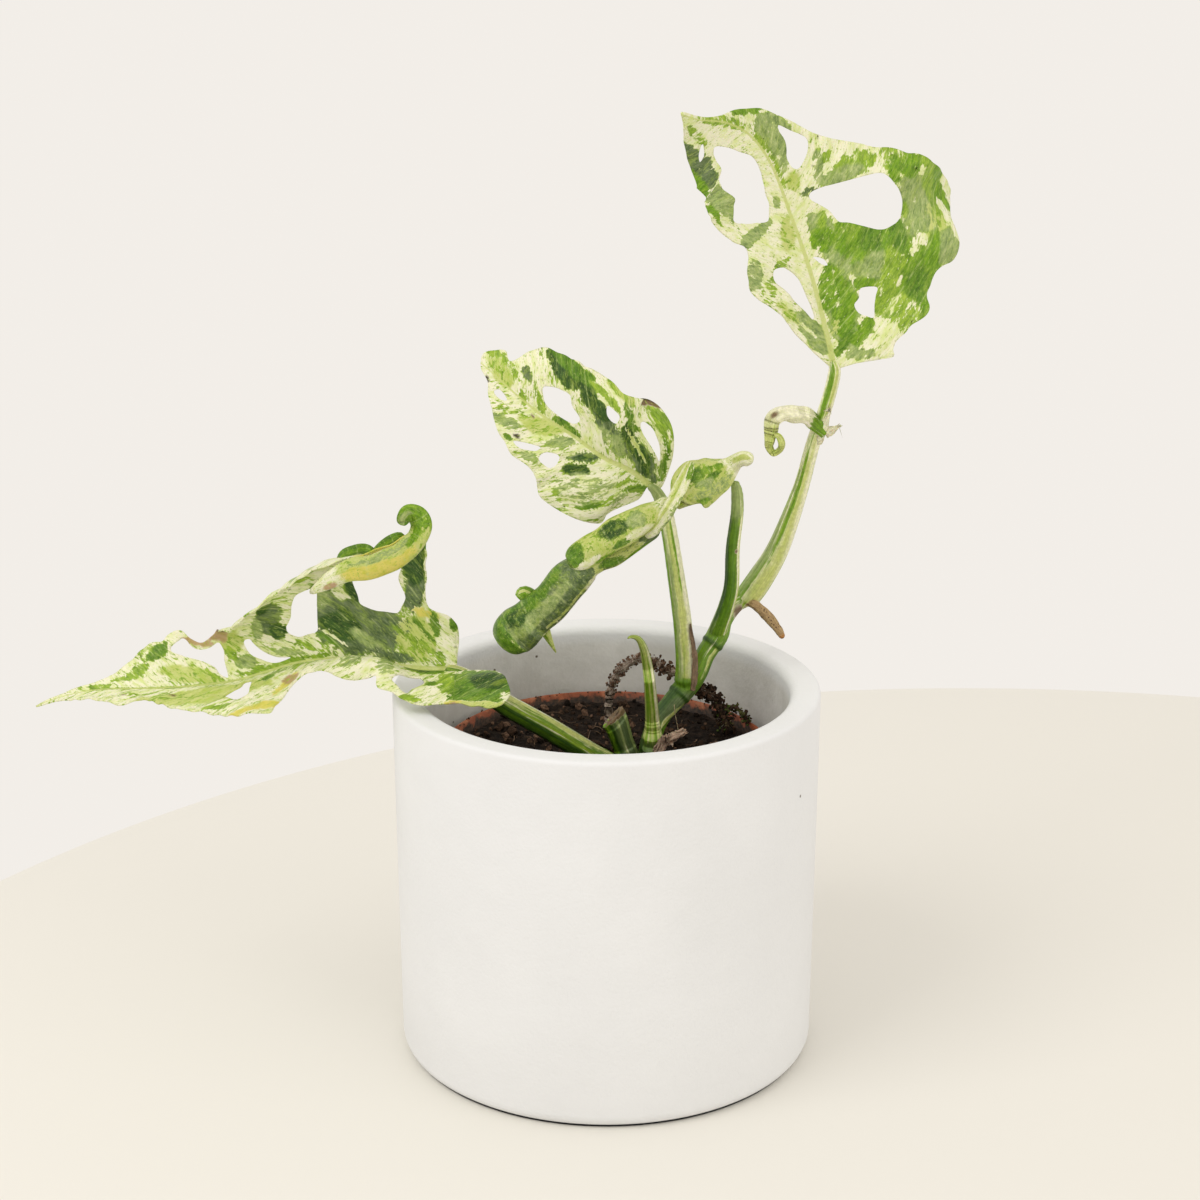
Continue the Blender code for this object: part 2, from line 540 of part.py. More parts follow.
def blade_mesh(name, blade, outline, holes, grid):
    """The flat blade, with its holes and a crease along the midrib, triangulated and then bent."""
    loops = [closed_curve(loop, min(grid)) for loop in [outline] + holes]
    midrib = np.arange(3, blade.length - 3, grid[0])
    midrib = np.column_stack([midrib, np.zeros(len(midrib))])
    midrib = midrib[on_blade(midrib, loops)]
    points = np.vstack(loops + [midrib, inner_points(loops, grid)])
    sides, start = [], 0
    for loop in loops:
        sides += [(start + i, start + (i + 1) % len(loop)) for i in range(len(loop))]
        start += len(loop)
    sides += [(start + i, start + i + 1) for i in range(len(midrib) - 1)]
    flat = [Vector(p) for p in points]
    places, _, faces, _, _, _ = geometry.delaunay_2d_cdt(flat, sides, [], 0, 1e-5)
    places = np.array(places)
    middles = np.array([places[face].mean(axis=0) for face in faces])
    faces = [face for face, kept in zip(faces, on_blade(middles, loops)) if kept]
    mesh = bpy.data.meshes.new(name)
    mesh.from_pydata((blade.at(places[:, 0], places[:, 1]) * MM).tolist(), [], faces)
    return mesh


def add_leaf(name, leaf, slot, collection, grid):
    shape = {key: leaf[key] for key in ("spine", "facing", "left", "right", "ruffle") if key in leaf}
    mesh = blade_mesh(name, Blade(**shape), leaf["outline"], leaf["holes"], grid)
    thing = add_object(name, mesh, slot, collection)
    solid = thing.modifiers.new("Thickness", "SOLIDIFY")
    solid.thickness = BLADE_THICKNESS * MM
    solid.offset = 0
    return thing


def add_cover_pot(collection):
    lip_in = corner(POT_INNER_RADIUS + LIP_ROUND_IN, POT_HEIGHT - LIP_ROUND_IN, LIP_ROUND_IN, 180)
    lip_out = corner(POT_RADIUS - LIP_ROUND_OUT, POT_HEIGHT - LIP_ROUND_OUT, LIP_ROUND_OUT, 90, 2)
    foot_radius = POT_RADIUS - POT_DRAFT
    foot = corner(foot_radius - FOOT_ROUND, FOOT_ROUND, FOOT_ROUND, 0)
    floor = corner(POT_INNER_RADIUS - FLOOR_ROUND, POT_FLOOR + FLOOR_ROUND, FLOOR_ROUND, 0)
    profile = [(0, POT_FLOOR)] + floor[::-1] + lip_in + lip_out + foot + [(0, 0)]
    return turned("cover_pot", profile, 60, "cover_pot", collection)


def add_nursery_pot(collection, cutters):
    foot_z = POT_FLOOR + GAP
    under_rim = NURSERY_RIM_Z - NURSERY_RIM_DEPTH
    wall = NURSERY_WALL
    profile = [
        (0, foot_z + wall), (NURSERY_FOOT_RADIUS - wall - 1, foot_z + wall),
        (NURSERY_FOOT_RADIUS - wall, foot_z + wall + 1),
        (NURSERY_WALL_RADIUS - wall, under_rim + wall),
        (NURSERY_RIM_RADIUS - wall - 0.6, under_rim + 2 * wall + 1),
        (NURSERY_RIM_RADIUS - wall - 0.2, NURSERY_RIM_Z - 0.5),
        (NURSERY_RIM_RADIUS - wall * 0.5 - 0.1, NURSERY_RIM_Z),
        (NURSERY_RIM_RADIUS, NURSERY_RIM_Z - 0.5),
        (NURSERY_RIM_RADIUS - 0.5, under_rim), (NURSERY_WALL_RADIUS, under_rim - 0.4),
        (NURSERY_FOOT_RADIUS, foot_z + 1), (NURSERY_FOOT_RADIUS - 1, foot_z), (0, foot_z),
    ]
    pot = turned("nursery_pot", profile, 48, "nursery_pot", collection)
    for i in range(DRAIN_HOLES):
        angle = math.tau * i / DRAIN_HOLES
        place = Vector((DRAIN_CIRCLE * math.cos(angle), DRAIN_CIRCLE * math.sin(angle), foot_z + wall / 2)) * MM
        bm = bmesh.new()
        bmesh.ops.create_cone(
            bm, cap_ends=True, segments=12, radius1=DRAIN_RADIUS * MM, radius2=DRAIN_RADIUS * MM, depth=4 * wall * MM
        )
        bmesh.ops.translate(bm, verts=bm.verts[:], vec=place)
        mesh = bpy.data.meshes.new("drain_%d" % i)
        bm.to_mesh(mesh)
        bm.free()
        cut(pot, add_cutter("drain_%d" % i, mesh, cutters))
    return pot


def add_soil(collection):
    """The soil fills the nursery pot; its top is lumpy by a formula."""
    foot_z = POT_FLOOR + GAP
    low, top = foot_z + NURSERY_WALL + GAP, SOIL_TOP_Z
    low_radius = NURSERY_FOOT_RADIUS - NURSERY_WALL - 1 - GAP
    under_rim = NURSERY_RIM_Z - NURSERY_RIM_DEPTH + NURSERY_WALL
    top_radius = NURSERY_WALL_RADIUS - NURSERY_WALL - GAP
    slope = (top_radius - low_radius) / (under_rim - low)
    bm = bmesh.new()
    bmesh.ops.create_cone(
        bm, cap_ends=True, cap_tris=False, segments=40, radius1=low_radius * MM, radius2=top_radius * MM,
        depth=(under_rim - low) * MM,
    )
    bmesh.ops.translate(bm, verts=bm.verts[:], vec=(0, 0, (under_rim + low) / 2 * MM))
    lid = [f for f in bm.faces if f.normal.z > 0.9]
    for inset, rise in ((0.6, 2.0), (4.0, top - under_rim - 2.0), (9.0, 0), (10.0, 0), (11.0, 0)):
        bmesh.ops.inset_region(bm, faces=lid, thickness=inset * MM, use_even_offset=True)
        bmesh.ops.translate(bm, verts=list({v for f in lid for v in f.verts}), vec=(0, 0, rise * MM))
    bmesh.ops.poke(bm, faces=lid)
    for vert in bm.verts:
        x, y, z = vert.co / MM
        if z > top - 0.5:
            vert.co.z += lump(x, y) * MM
    bmesh.ops.triangulate(bm, faces=bm.faces[:])
    mesh = bpy.data.meshes.new("potting_soil")
    bm.to_mesh(mesh)
    bm.free()
    return add_object("potting_soil", mesh, "potting_soil", collection)


def lump(x, y):
    """Height of the soil over its mean level: low swells and small crumbs."""
    swell = 1.1 * math.sin(0.11 * x + 0.7) * math.cos(0.13 * y - 0.4)
    crumb = 0.7 * math.sin(0.43 * x + 1.9) * math.sin(0.39 * y + 0.6)
    return swell + crumb


def carve(thing, name, points, cutters):
    """Make room in a piece for the stem along the points, with air all round it."""
    cut(thing, add_cutter(name, tube_mesh(name, points, GAP), cutters))


def add_climbing_stem(collection):
    """The stem that climbs out of the soil, fused with the three stalks that grow from it."""
    side_stalks = bpy.data.collections.new("side_stalks")
    bpy.context.scene.collection.children.link(side_stalks)
    for i, points in enumerate((TOP_STALK, MIDDLE_STALK, ROLLED_STALK)):
        add_object("side_stalk_%d" % i, tube_mesh("side_stalk_%d" % i, points), "stem", side_stalks)
    vine = add_object("vine", tube_mesh("vine", VINE), "stem", collection)
    union = vine.modifiers.new("Fuse", "BOOLEAN")
    union.operation = "UNION"
    union.solver = "EXACT"
    union.operand_type = "COLLECTION"
    union.collection = side_stalks
    view = bpy.context.evaluated_depsgraph_get()
    mesh = bpy.data.meshes.new_from_object(vine.evaluated_get(view))
    bpy.data.objects.remove(vine)
    for stalk in list(side_stalks.objects):
        bpy.data.objects.remove(stalk)
    bpy.data.collections.remove(side_stalks)
    mesh.materials.clear()
    return add_object("climbing_stem", mesh, "stem", collection)


def add_roots_and_shoots(collection, cutters):
    """What stands in the soil beside the climbing stem, and the roots that grow out of it."""
    pieces = dict(STANDING, aerial_root=(AERIAL_ROOT, "root"))
    for name, (points, slot) in pieces.items():
        thing = add_object(name, tube_mesh(name, points), slot, collection)
        for i, carrier in enumerate(ROOT_SEATS.get(name, [])):
            carve(thing, "seat_%s_%d" % (name, i), carrier, cutters)


def add_leaves(collection, cutters):
    """The leaves, each with a notch at its base where its stalk runs into the midrib."""
    for name, (leaf, slot, stalk, grid) in LEAVES.items():
        thing = add_leaf(name, leaf, slot, collection, grid)
        carve(thing, "seat_" + name, stalk, cutters)


def main():
    for thing in list(bpy.data.objects):
        bpy.data.objects.remove(thing)
    plant = bpy.data.collections.new("monstera_adansonii")
    cutters = bpy.data.collections.new("cutters")
    bpy.context.scene.collection.children.link(plant)
    bpy.context.scene.collection.children.link(cutters)
    add_cover_pot(plant)
    add_nursery_pot(plant, cutters)
    soil = add_soil(plant)
    carve(soil, "hole_climbing_stem", VINE, cutters)
    for name, (points, _) in STANDING.items():
        carve(soil, "hole_" + name, points, cutters)
    add_climbing_stem(plant)
    add_roots_and_shoots(plant, cutters)
    add_leaves(plant, cutters)


if __name__ == "__main__":
    main()
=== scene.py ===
# %% [markdown]
# # A variegated monstera adansonii in its two pots
# The imported CAD model is the fixed frame. Every new piece is built in metres, in that same
# frame, so nothing has to be fitted afterwards. The finished plant may not grow out of it.

# %% Load the frame
import math

import bmesh
import bpy
import numpy as np
from mathutils import Euler, Matrix, Vector, kdtree, noise


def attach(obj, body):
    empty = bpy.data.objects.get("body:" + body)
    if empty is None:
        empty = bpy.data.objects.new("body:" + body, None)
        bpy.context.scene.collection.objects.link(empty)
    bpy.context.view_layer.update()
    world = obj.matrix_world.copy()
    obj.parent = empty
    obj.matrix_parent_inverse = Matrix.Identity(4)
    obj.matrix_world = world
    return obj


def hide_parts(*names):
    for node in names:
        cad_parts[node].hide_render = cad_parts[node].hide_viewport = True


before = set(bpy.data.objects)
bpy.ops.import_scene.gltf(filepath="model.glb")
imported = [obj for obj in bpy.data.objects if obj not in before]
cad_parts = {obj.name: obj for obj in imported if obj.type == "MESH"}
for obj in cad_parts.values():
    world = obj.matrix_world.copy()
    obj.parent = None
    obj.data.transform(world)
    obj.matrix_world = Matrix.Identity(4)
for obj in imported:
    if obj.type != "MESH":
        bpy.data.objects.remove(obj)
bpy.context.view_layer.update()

MM = 0.001

# %% [markdown]
# ## Camera and stage
# The photograph looks down on the pot by about eighteen degrees with a longer lens, so the
# lip is a flat oval. The floor is a pale round table whose far edge shows as a faint line.

# %% Camera
LOOKING_DOWN = 17.837  # degrees
scene = bpy.context.scene
camera = bpy.data.objects.new("camera", bpy.data.cameras.new("camera"))
camera.data.lens = 50
camera.data.sensor_width = 24
camera.location = (-0.00214, -0.7709, 0.4021)
camera.rotation_euler = (math.radians(90 - LOOKING_DOWN), 0, 0)
scene.collection.objects.link(camera)
scene.camera = camera
scene.view_settings.view_transform = "Standard"

# %% [markdown]
# ## Small helpers for finishes
# A finish is a Principled shader with a few nodes in front of it. add() makes a node and
# fills its inputs: a plain value is set on the socket and a socket is linked. The other helpers
# give the usual nodes short names. The last one makes a piece of the plant out of a finished
# bmesh and hides the CAD nodes that it stands for.


# %% Nodes and places
def fill(tree, node, inputs):
    """Link the sockets among a node's inputs and set the plain values."""
    for socket, value in inputs.items():
        if isinstance(value, bpy.types.NodeSocket):
            tree.links.new(value, node.inputs[socket])
        else:
            node.inputs[socket].default_value = value


def add(tree, kind, inputs=None, **settings):
    """Add a shader node, set its own settings and fill its inputs."""
    node = tree.nodes.new("ShaderNode" + kind)
    for setting, value in settings.items():
        setattr(node, setting, value)
    fill(tree, node, inputs or {})
    return node


def attribute(tree, name, output="Vector"):
    return add(tree, "Attribute", attribute_name=name).outputs[output]


def object_place(tree):
    return add(tree, "TexCoord").outputs["Object"]


def part(tree, value, name):
    """One part, X, Y or Z, of a vector."""
    return add(tree, "SeparateXYZ", {0: value}).outputs[name]


def channel(tree, colour, index):
    return add(tree, "SeparateColor", {0: colour}).outputs[index]


def vector_node(tree, what, a, b):
    return add(tree, "VectorMath", {0: a, 1: b}, operation=what).outputs[0]


def new_finish(name):
    """An empty finish and its Principled shader."""
    finish = bpy.data.materials.new(name)
    finish.use_nodes = True
    return finish.node_tree, finish.node_tree.nodes["Principled BSDF"], finish


# %% Patterns, sums and colours
def speckle(tree, place, scale, detail=3.0, rough=0.55, twist=0.0):
    """A noise value around 0.5."""
    settings = {"Vector": place, "Scale": scale, "Detail": detail, "Roughness": rough, "Distortion": twist}
    return add(tree, "TexNoise", settings).outputs["Fac"]


def ramp(tree, value, stops):
    """A colour for each value; stops are (place, colour)."""
    node = add(tree, "ValToRGB", {"Fac": value})
    for i, (place, colour) in enumerate(stops):
        stop = node.color_ramp.elements[i] if i < 2 else node.color_ramp.elements.new(place)
        stop.position = place
        stop.color = (*colour, 1)
    return node.outputs["Color"]


def greys(tree, value, low, dark, high, light):
    """Dark grey up to low and light grey from high on."""
    return ramp(tree, value, [(low, (dark,) * 3), (high, (light,) * 3)])


def math_node(tree, what, a, b=0.0, c=0.0):
    return add(tree, "Math", {0: a, 1: b, 2: c}, operation=what).outputs[0]


def times(tree, a, b):
    return math_node(tree, "MULTIPLY", a, b)


def edge(tree, value, low, high):
    """0 below low and 1 above high, with a soft step between them."""
    inputs = {"Value": value, "From Min": low, "From Max": high}
    return add(tree, "MapRange", inputs, interpolation_type="SMOOTHSTEP").outputs[0]


def blend_colour(tree, share, a, b, way="MIX"):
    node = add(tree, "Mix", data_type="RGBA", blend_type=way)
    a, b = ((*colour, 1) if isinstance(colour, tuple) else colour for colour in (a, b))
    fill(tree, node, {0: share, 6: a, 7: b})
    return node.outputs[2]


def tinted(tree, colour, by):
    """Multiply a colour by another."""
    return blend_colour(tree, 1.0, colour, by, "MULTIPLY")


def relief(tree, height, depth, strength=1.0, under=None):
    """Bump of a height from 0 to 1 that stands for a depth in millimetres."""
    inputs = {"Height": height, "Distance": depth * MM, "Strength": strength}
    if under is not None:
        inputs["Normal"] = under
    return add(tree, "Bump", inputs).outputs[0]


# %% A finished piece
def finished(name, bm, finishes, stands_for=()):
    """Turn a bmesh into a piece that rides on the plant."""
    mesh = bpy.data.meshes.new(name)
    bm.to_mesh(mesh)
    bm.free()
    for finish in finishes if isinstance(finishes, list) else [finishes]:
        mesh.materials.append(finish)
    for face in mesh.polygons:
        face.use_smooth = True
    piece = bpy.data.objects.new(name, mesh)
    scene.collection.objects.link(piece)
    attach(piece, "root")
    if stands_for:
        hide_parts(*stands_for)
    print(name, "faces:", len(mesh.polygons))
    return piece


# %% [markdown]
# ## Table and light
# The table is a round disc of pale laminate, a little larger than the view. It is stage, not
# part of the plant. The light is a bright room: an even white surround, a large soft lamp from
# the upper left and a weak one from the right, so the shadows are barely there.

# %% Table
TABLE_RADIUS, TABLE_THICKNESS, TABLE_MIDDLE = 0.483, 0.02, (0.17, -0.14, -0.0002)
bm = bmesh.new()
bmesh.ops.create_circle(bm, cap_ends=True, segments=256, radius=TABLE_RADIUS)
bmesh.ops.translate(bm, verts=bm.verts[:], vec=TABLE_MIDDLE)
under = bmesh.ops.extrude_face_region(bm, geom=bm.faces[:])["geom"]
under = [v for v in under if isinstance(v, bmesh.types.BMVert)]
bmesh.ops.translate(bm, verts=under, vec=(0, 0, -TABLE_THICKNESS))
bmesh.ops.recalc_face_normals(bm, faces=bm.faces[:])
table_mesh = bpy.data.meshes.new("table")
bm.to_mesh(table_mesh)
bm.free()
tree, shader, laminate = new_finish("pale_laminate")
fill(tree, shader, {"Base Color": (0.80, 0.78, 0.72, 1), "Roughness": 0.5, "Specular IOR Level": 0.25})
table_mesh.materials.append(laminate)
table = bpy.data.objects.new("table", table_mesh)
scene.collection.objects.link(table)

# %% Light
room = bpy.data.worlds.new("room")
scene.world = room
room.use_nodes = True
walls = {"Color": (0.892, 0.855, 0.808, 1), "Strength": 1.0}
fill(room.node_tree, room.node_tree.nodes["Background"], walls)
LAMPS_LOOK_AT = Vector((0, 0, 0.12))
for name, place, size, watts, colour in (
    ("key", (-0.9, -0.7, 1.3), 0.9, 8, (1, 0.99, 0.98)),
    ("fill", (1.2, -0.9, 0.8), 1.2, 3.5, (1, 0.98, 0.95)),
):
    lamp = bpy.data.objects.new(name, bpy.data.lights.new(name, "AREA"))
    lamp.data.size = size
    lamp.data.energy = watts
    lamp.data.color = colour
    lamp.location = place
    lamp.rotation_euler = (LAMPS_LOOK_AT - Vector(place)).to_track_quat("-Z", "Y").to_euler()
    scene.collection.objects.link(lamp)

# %% [markdown]
# ## Cover pot
# A thick cylinder of white ceramic with a matt, finely pebbled coat, a flat lip and a rounded
# foot. A turned body is a half profile spun round the axis: the profile is drawn with sharp
# corners, and the corners are rounded afterwards with a bevel, as a potter's sponge does it.


# %% Turning on the wheel
def turn(profile, steps, rounded=()):
    """Spin a profile of (radius, z) in millimetres, and round its corners at (radius, z)."""
    bm = bmesh.new()
    points = [bm.verts.new((r * MM, 0, z * MM)) for r, z in profile]
    for pair in zip(points, points[1:]):
        bm.edges.new(pair)
    drawn = bm.verts[:] + bm.edges[:]
    bmesh.ops.spin(
        bm, geom=drawn, axis=(0, 0, 1), cent=(0, 0, 0), angle=math.tau, steps=steps, use_merge=True
    )
    bmesh.ops.remove_doubles(bm, verts=bm.verts[:], dist=1e-6)
    for radius, z, size, segments in rounded:
        def on_ring(v):
            return abs(math.hypot(v.co.x, v.co.y) - radius * MM) < 1e-5 and abs(v.co.z - z * MM) < 1e-5

        ring = [e for e in bm.edges if all(on_ring(v) for v in e.verts)]
        bmesh.ops.bevel(
            bm, geom=ring, offset=size * MM, segments=segments, affect="EDGES", profile=0.5, material=-1
        )
    bmesh.ops.recalc_face_normals(bm, faces=bm.faces[:])
    return bm


# %% White ceramic
tree, shader, ceramic = new_finish("white_ceramic")
place = object_place(tree)
height = part(tree, place, "Z")
spread = vector_node(tree, "MULTIPLY", place, (1, 1, 0))
radius = add(tree, "VectorMath", {0: spread}, operation="LENGTH").outputs["Value"]
inner = times(tree, edge(tree, radius, 0.0625, 0.0605), edge(tree, height, 0.122, 0.117))
cloud = ramp(tree, speckle(tree, place, 22), [(0.3, (0.775, 0.78, 0.785)), (0.7, (0.815, 0.82, 0.825))])
# Inside the pot, below the lip, the white is blended three quarters of the way to a darker mottled grey: partly
# dust, partly painted shade of the deep inside.
dust_and_painted_shade = ramp(tree, speckle(tree, place, 60, 6, 0.7), [(0.4, (0.60, 0.58, 0.53)), (0.62, (0.74, 0.72, 0.68))])
colour = blend_colour(tree, times(tree, inner, 0.75), cloud, dust_and_painted_shade)
grit = add(tree, "TexVoronoi", {"Vector": place, "Scale": 210.0, "Randomness": 1.0})
chosen = channel(tree, grit.outputs["Color"], 0)
few = math_node(tree, "MULTIPLY_ADD", inner, -0.10, 0.9975)
specks = math_node(tree, "GREATER_THAN", chosen, few)
specks = times(tree, specks, edge(tree, grit.outputs["Distance"], 0.16, 0.08))
pebble = speckle(tree, place, 900, 2, 0.5)
swell = speckle(tree, place, 90, 2, 0.5)
fill(tree, shader, {
    "Base Color": blend_colour(tree, specks, colour, (0.10, 0.075, 0.05)),
    "Roughness": greys(tree, speckle(tree, place, 120), 0.3, 0.50, 0.7, 0.62),
    "Specular IOR Level": 0.35,
    "Normal": relief(tree, pebble, 0.18, 0.7, relief(tree, swell, 0.5, 0.5)),
})

# %% Cover pot
POT_RADIUS, POT_FOOT, POT_HEIGHT, POT_INSIDE, POT_FLOOR = 70.0, 69.1, 125.0, 60.0, 8.0
pot_profile = [
    (0, POT_FLOOR), (30, POT_FLOOR), (POT_INSIDE, POT_FLOOR), (POT_INSIDE, 40), (POT_INSIDE, 80),
    (POT_INSIDE, POT_HEIGHT), (POT_RADIUS, POT_HEIGHT), (69.7, 80), (69.4, 40), (POT_FOOT, 0), (66.6, 0),
    (30, 0), (0, 0),
]
pot_corners = [
    (POT_INSIDE, POT_FLOOR, 6, 5), (POT_INSIDE, POT_HEIGHT, 3.2, 6), (POT_RADIUS, POT_HEIGHT, 1.5, 4),
    (POT_FOOT, 0, 4.6, 6),
]
bm = turn(pot_profile, 180, pot_corners)
finished("pot_of_white_ceramic", bm, ceramic, ["cover_pot"])

# %% [markdown]
# ## Leaf blades
# A blade is a thin sheet with a smooth outline and natural holes. It is drawn flat, in
# millimetres: u runs along the midrib from the stalk and v across it, to the right as the face
# is looked at with the tip up. The outline is filled, then sliced both ways into small squares,
# so that the sheet can be bent finely. Then it is laid over the bent midrib of the CAD leaf.

# %% Smooth lines
ACROSS = 12.0  # millimetres between two angles of a blade's cross-section
RUFFLE = (1.0, 23.0, 0.0)  # the usual ruffle of a margin: height and wave in millimetres, and phase


def catmull(points, t):
    """Smooth curve through the points, at the parameters t, which run from 0 to len(points) - 1."""
    points = np.asarray(points, float)
    p = np.vstack([2 * points[0] - points[1], points, 2 * points[-1] - points[-2]])
    t = np.clip(np.asarray(t, float), 0, len(points) - 1)
    i = np.minimum(t.astype(int), len(points) - 2)
    f = (t - i)[:, None]
    a, b, c, d = p[i], p[i + 1], p[i + 2], p[i + 3]
    return 0.5 * (2 * b + (c - a) * f + (2 * a - 5 * b + 4 * c - d) * f**2 + (3 * b - a - 3 * c + d) * f**3)


def unit(v):
    return v / np.maximum(np.linalg.norm(v, axis=-1, keepdims=True), 1e-9)


def closed_curve(points, step):
    """Points every step or so along the smooth closed curve through an outline."""
    padded = np.array([points[-1]] + list(points) + [points[0], points[1]], float)
    result = []
    for i in range(len(points)):
        count = max(1, round(math.dist(padded[i + 1], padded[i + 2]) / step))
        result.extend(catmull(padded, 1 + i + np.arange(count) / count))
    return np.array(result)


# %% Bending a blade over its midrib
class Blade:
    """A leaf blade bent over its midrib: at() turns flat places (u, v) into places in space."""

    def __init__(self, spine, facing, left, right, ruffle):
        self.spine, self.facing, self.ruffle = spine, facing, ruffle
        self.left, self.right = self.profile(left), self.profile(right)
        self.t = np.linspace(0, len(spine) - 1, 40 * (len(spine) - 1) + 1)
        steps = np.linalg.norm(np.diff(catmull(spine, self.t), axis=0), axis=1)
        self.run = np.concatenate([[0], np.cumsum(steps)])
        self.length = self.run[-1]

    @staticmethod
    def profile(rows):
        """Rows of six angles in radians; the last angle that is given holds for the rest."""
        return np.radians([list(row) + [row[-1]] * (6 - len(row)) for row in rows])

    def at(self, u, v):
        u, v = np.atleast_1d(np.asarray(u, float)), np.atleast_1d(np.asarray(v, float))
        t = np.interp(u, self.run, self.t)
        ends = [catmull(self.spine, np.clip(t + side, 0, self.t[-1])) for side in (0.02, -0.02)]
        along = unit(ends[0] - ends[1])
        middle = catmull(self.spine, t) + along * (u - np.clip(u, 0, self.length))[:, None]
        face = catmull(self.facing, t)
        face = unit(face - along * (face * along).sum(1)[:, None])
        side = np.cross(along, face) * np.where(v < 0, -1.0, 1.0)[:, None]
        angles = np.where((v < 0)[:, None], catmull(self.left, t), catmull(self.right, t))
        out, up, last = self.section(angles, np.abs(v))
        size, wave, phase = self.ruffle
        lift = size * (np.abs(v) / 30.0) ** 2 * np.sin(2 * np.pi * u / wave + phase + 2.0 * (v < 0))
        out = out - lift * np.sin(last)
        up = up + lift * np.cos(last)
        return middle + side * out[:, None] + face * up[:, None]

    @staticmethod
    def section(angles, reach):
        """How far out and up a cross-section has come at each reach, and its angle there."""
        out, up, last = np.zeros(len(reach)), np.zeros(len(reach)), angles[:, 0]
        spans = angles.shape[1] - 1
        for j in range(spans + 1):
            start, end = angles[:, j], angles[:, min(j + 1, spans)]
            run = np.clip(reach - j * ACROSS, 0, ACROSS if j < spans else 1e9)
            turn = (end - start) / ACROSS
            turn = np.where(np.abs(turn) < 1e-6, 1e-6, turn)
            out += (np.sin(start + turn * run) - np.sin(start)) / turn
            up += (np.cos(start) - np.cos(start + turn * run)) / turn
            last = np.where(run > 0, start + turn * run, last)
        return out, up, last

    def outward(self, u, v):
        """The way that the leaf's face looks at each place."""
        ahead = self.at(u + 0.4, v) - self.at(u - 0.4, v)
        off = np.where(v < 0, -0.4, 0.4)
        across = (self.at(u, v + off) - self.at(u, v)) * np.sign(off)[:, None]
        return unit(np.cross(across, ahead))


# %% Cutting a blade
def flat_blade(outline, holes, step):
    """The blade laid flat: its outline filled, then sliced both ways into squares of one step."""
    bm = bmesh.new()
    for loop in [outline] + holes:
        ring = [bm.verts.new((u, v, 0)) for u, v in closed_curve(loop, step)]
        for pair in zip(ring, ring[1:] + ring[:1]):
            bm.edges.new(pair)
    bmesh.ops.triangle_fill(bm, edges=bm.edges[:], use_beauty=True, normal=(0, 0, 1))
    for axis in (0, 1):
        places = [v.co[axis] for v in bm.verts]
        across = Vector((axis == 0, axis == 1, 0))
        for k in range(math.ceil(min(places) / step), math.floor(max(places) / step) + 1):
            sheet = bm.verts[:] + bm.edges[:] + bm.faces[:]
            bmesh.ops.bisect_plane(bm, geom=sheet, dist=1e-4, plane_co=across * (k * step), plane_no=across)
    slanted = [
        e for e in bm.edges if not e.is_boundary
        and min(abs(e.verts[0].co.x - e.verts[1].co.x), abs(e.verts[0].co.y - e.verts[1].co.y)) > 1e-3
    ]
    bmesh.ops.dissolve_edges(bm, edges=slanted, use_verts=False)
    spare = [v for v in bm.verts if not v.is_boundary and len(v.link_edges) == 2]
    bmesh.ops.dissolve_verts(bm, verts=spare)
    bmesh.ops.triangulate(bm, faces=[f for f in bm.faces if len(f.verts) > 4])
    return bm


# %% [markdown]
# ## Variegation
# The leaf is a mosaic: some cells have lost their green, and the pale and the green parts run
# outwards along the lateral veins as sharp splashes and fine flecks. Each leaf gets a short list
# of splashes, laid on like brush strokes in the blade's own (u, v). A stroke sets three
# things on the sheet's points: which green and which pale tone grow there, and how much of it is
# green. The shader then breaks the edges up with noise that is stretched along the veins.

# %% Greens and creams
GREENS = {
    "sage": (0.30, 0.39, 0.125), "slate": (0.115, 0.17, 0.062), "bright": (0.24, 0.385, 0.028),
    "grass": (0.15, 0.30, 0.010), "deep": (0.098, 0.215, 0.011), "dark": (0.034, 0.088, 0.010),
}
CREAMS = {
    "cream": (0.83, 0.81, 0.59), "lime": (0.56, 0.60, 0.20), "butter": (0.68, 0.60, 0.13),
    "pink": (0.50, 0.33, 0.20), "tan": (0.20, 0.13, 0.07), "husky": (0.05, 0.035, 0.02),
}
SHARE_OF_GREEN = {
    "sage": 0.93, "slate": 0.95, "bright": 0.86, "grass": 0.92, "deep": 0.94, "dark": 1.0,
    "cream": 0.16, "lime": 0.36,
}
QUILT_PITCH = 8.2  # millimetres from one lateral vein to the next


def smooth(x):
    """A soft step from 0 to 1."""
    x = np.clip(x, 0, 1)
    return x * x * (3 - 2 * x)


def vein_foot(u, v, lean):
    """Where the lateral vein through a place leaves the midrib."""
    return u - lean * np.abs(v) - 0.004 * v**2


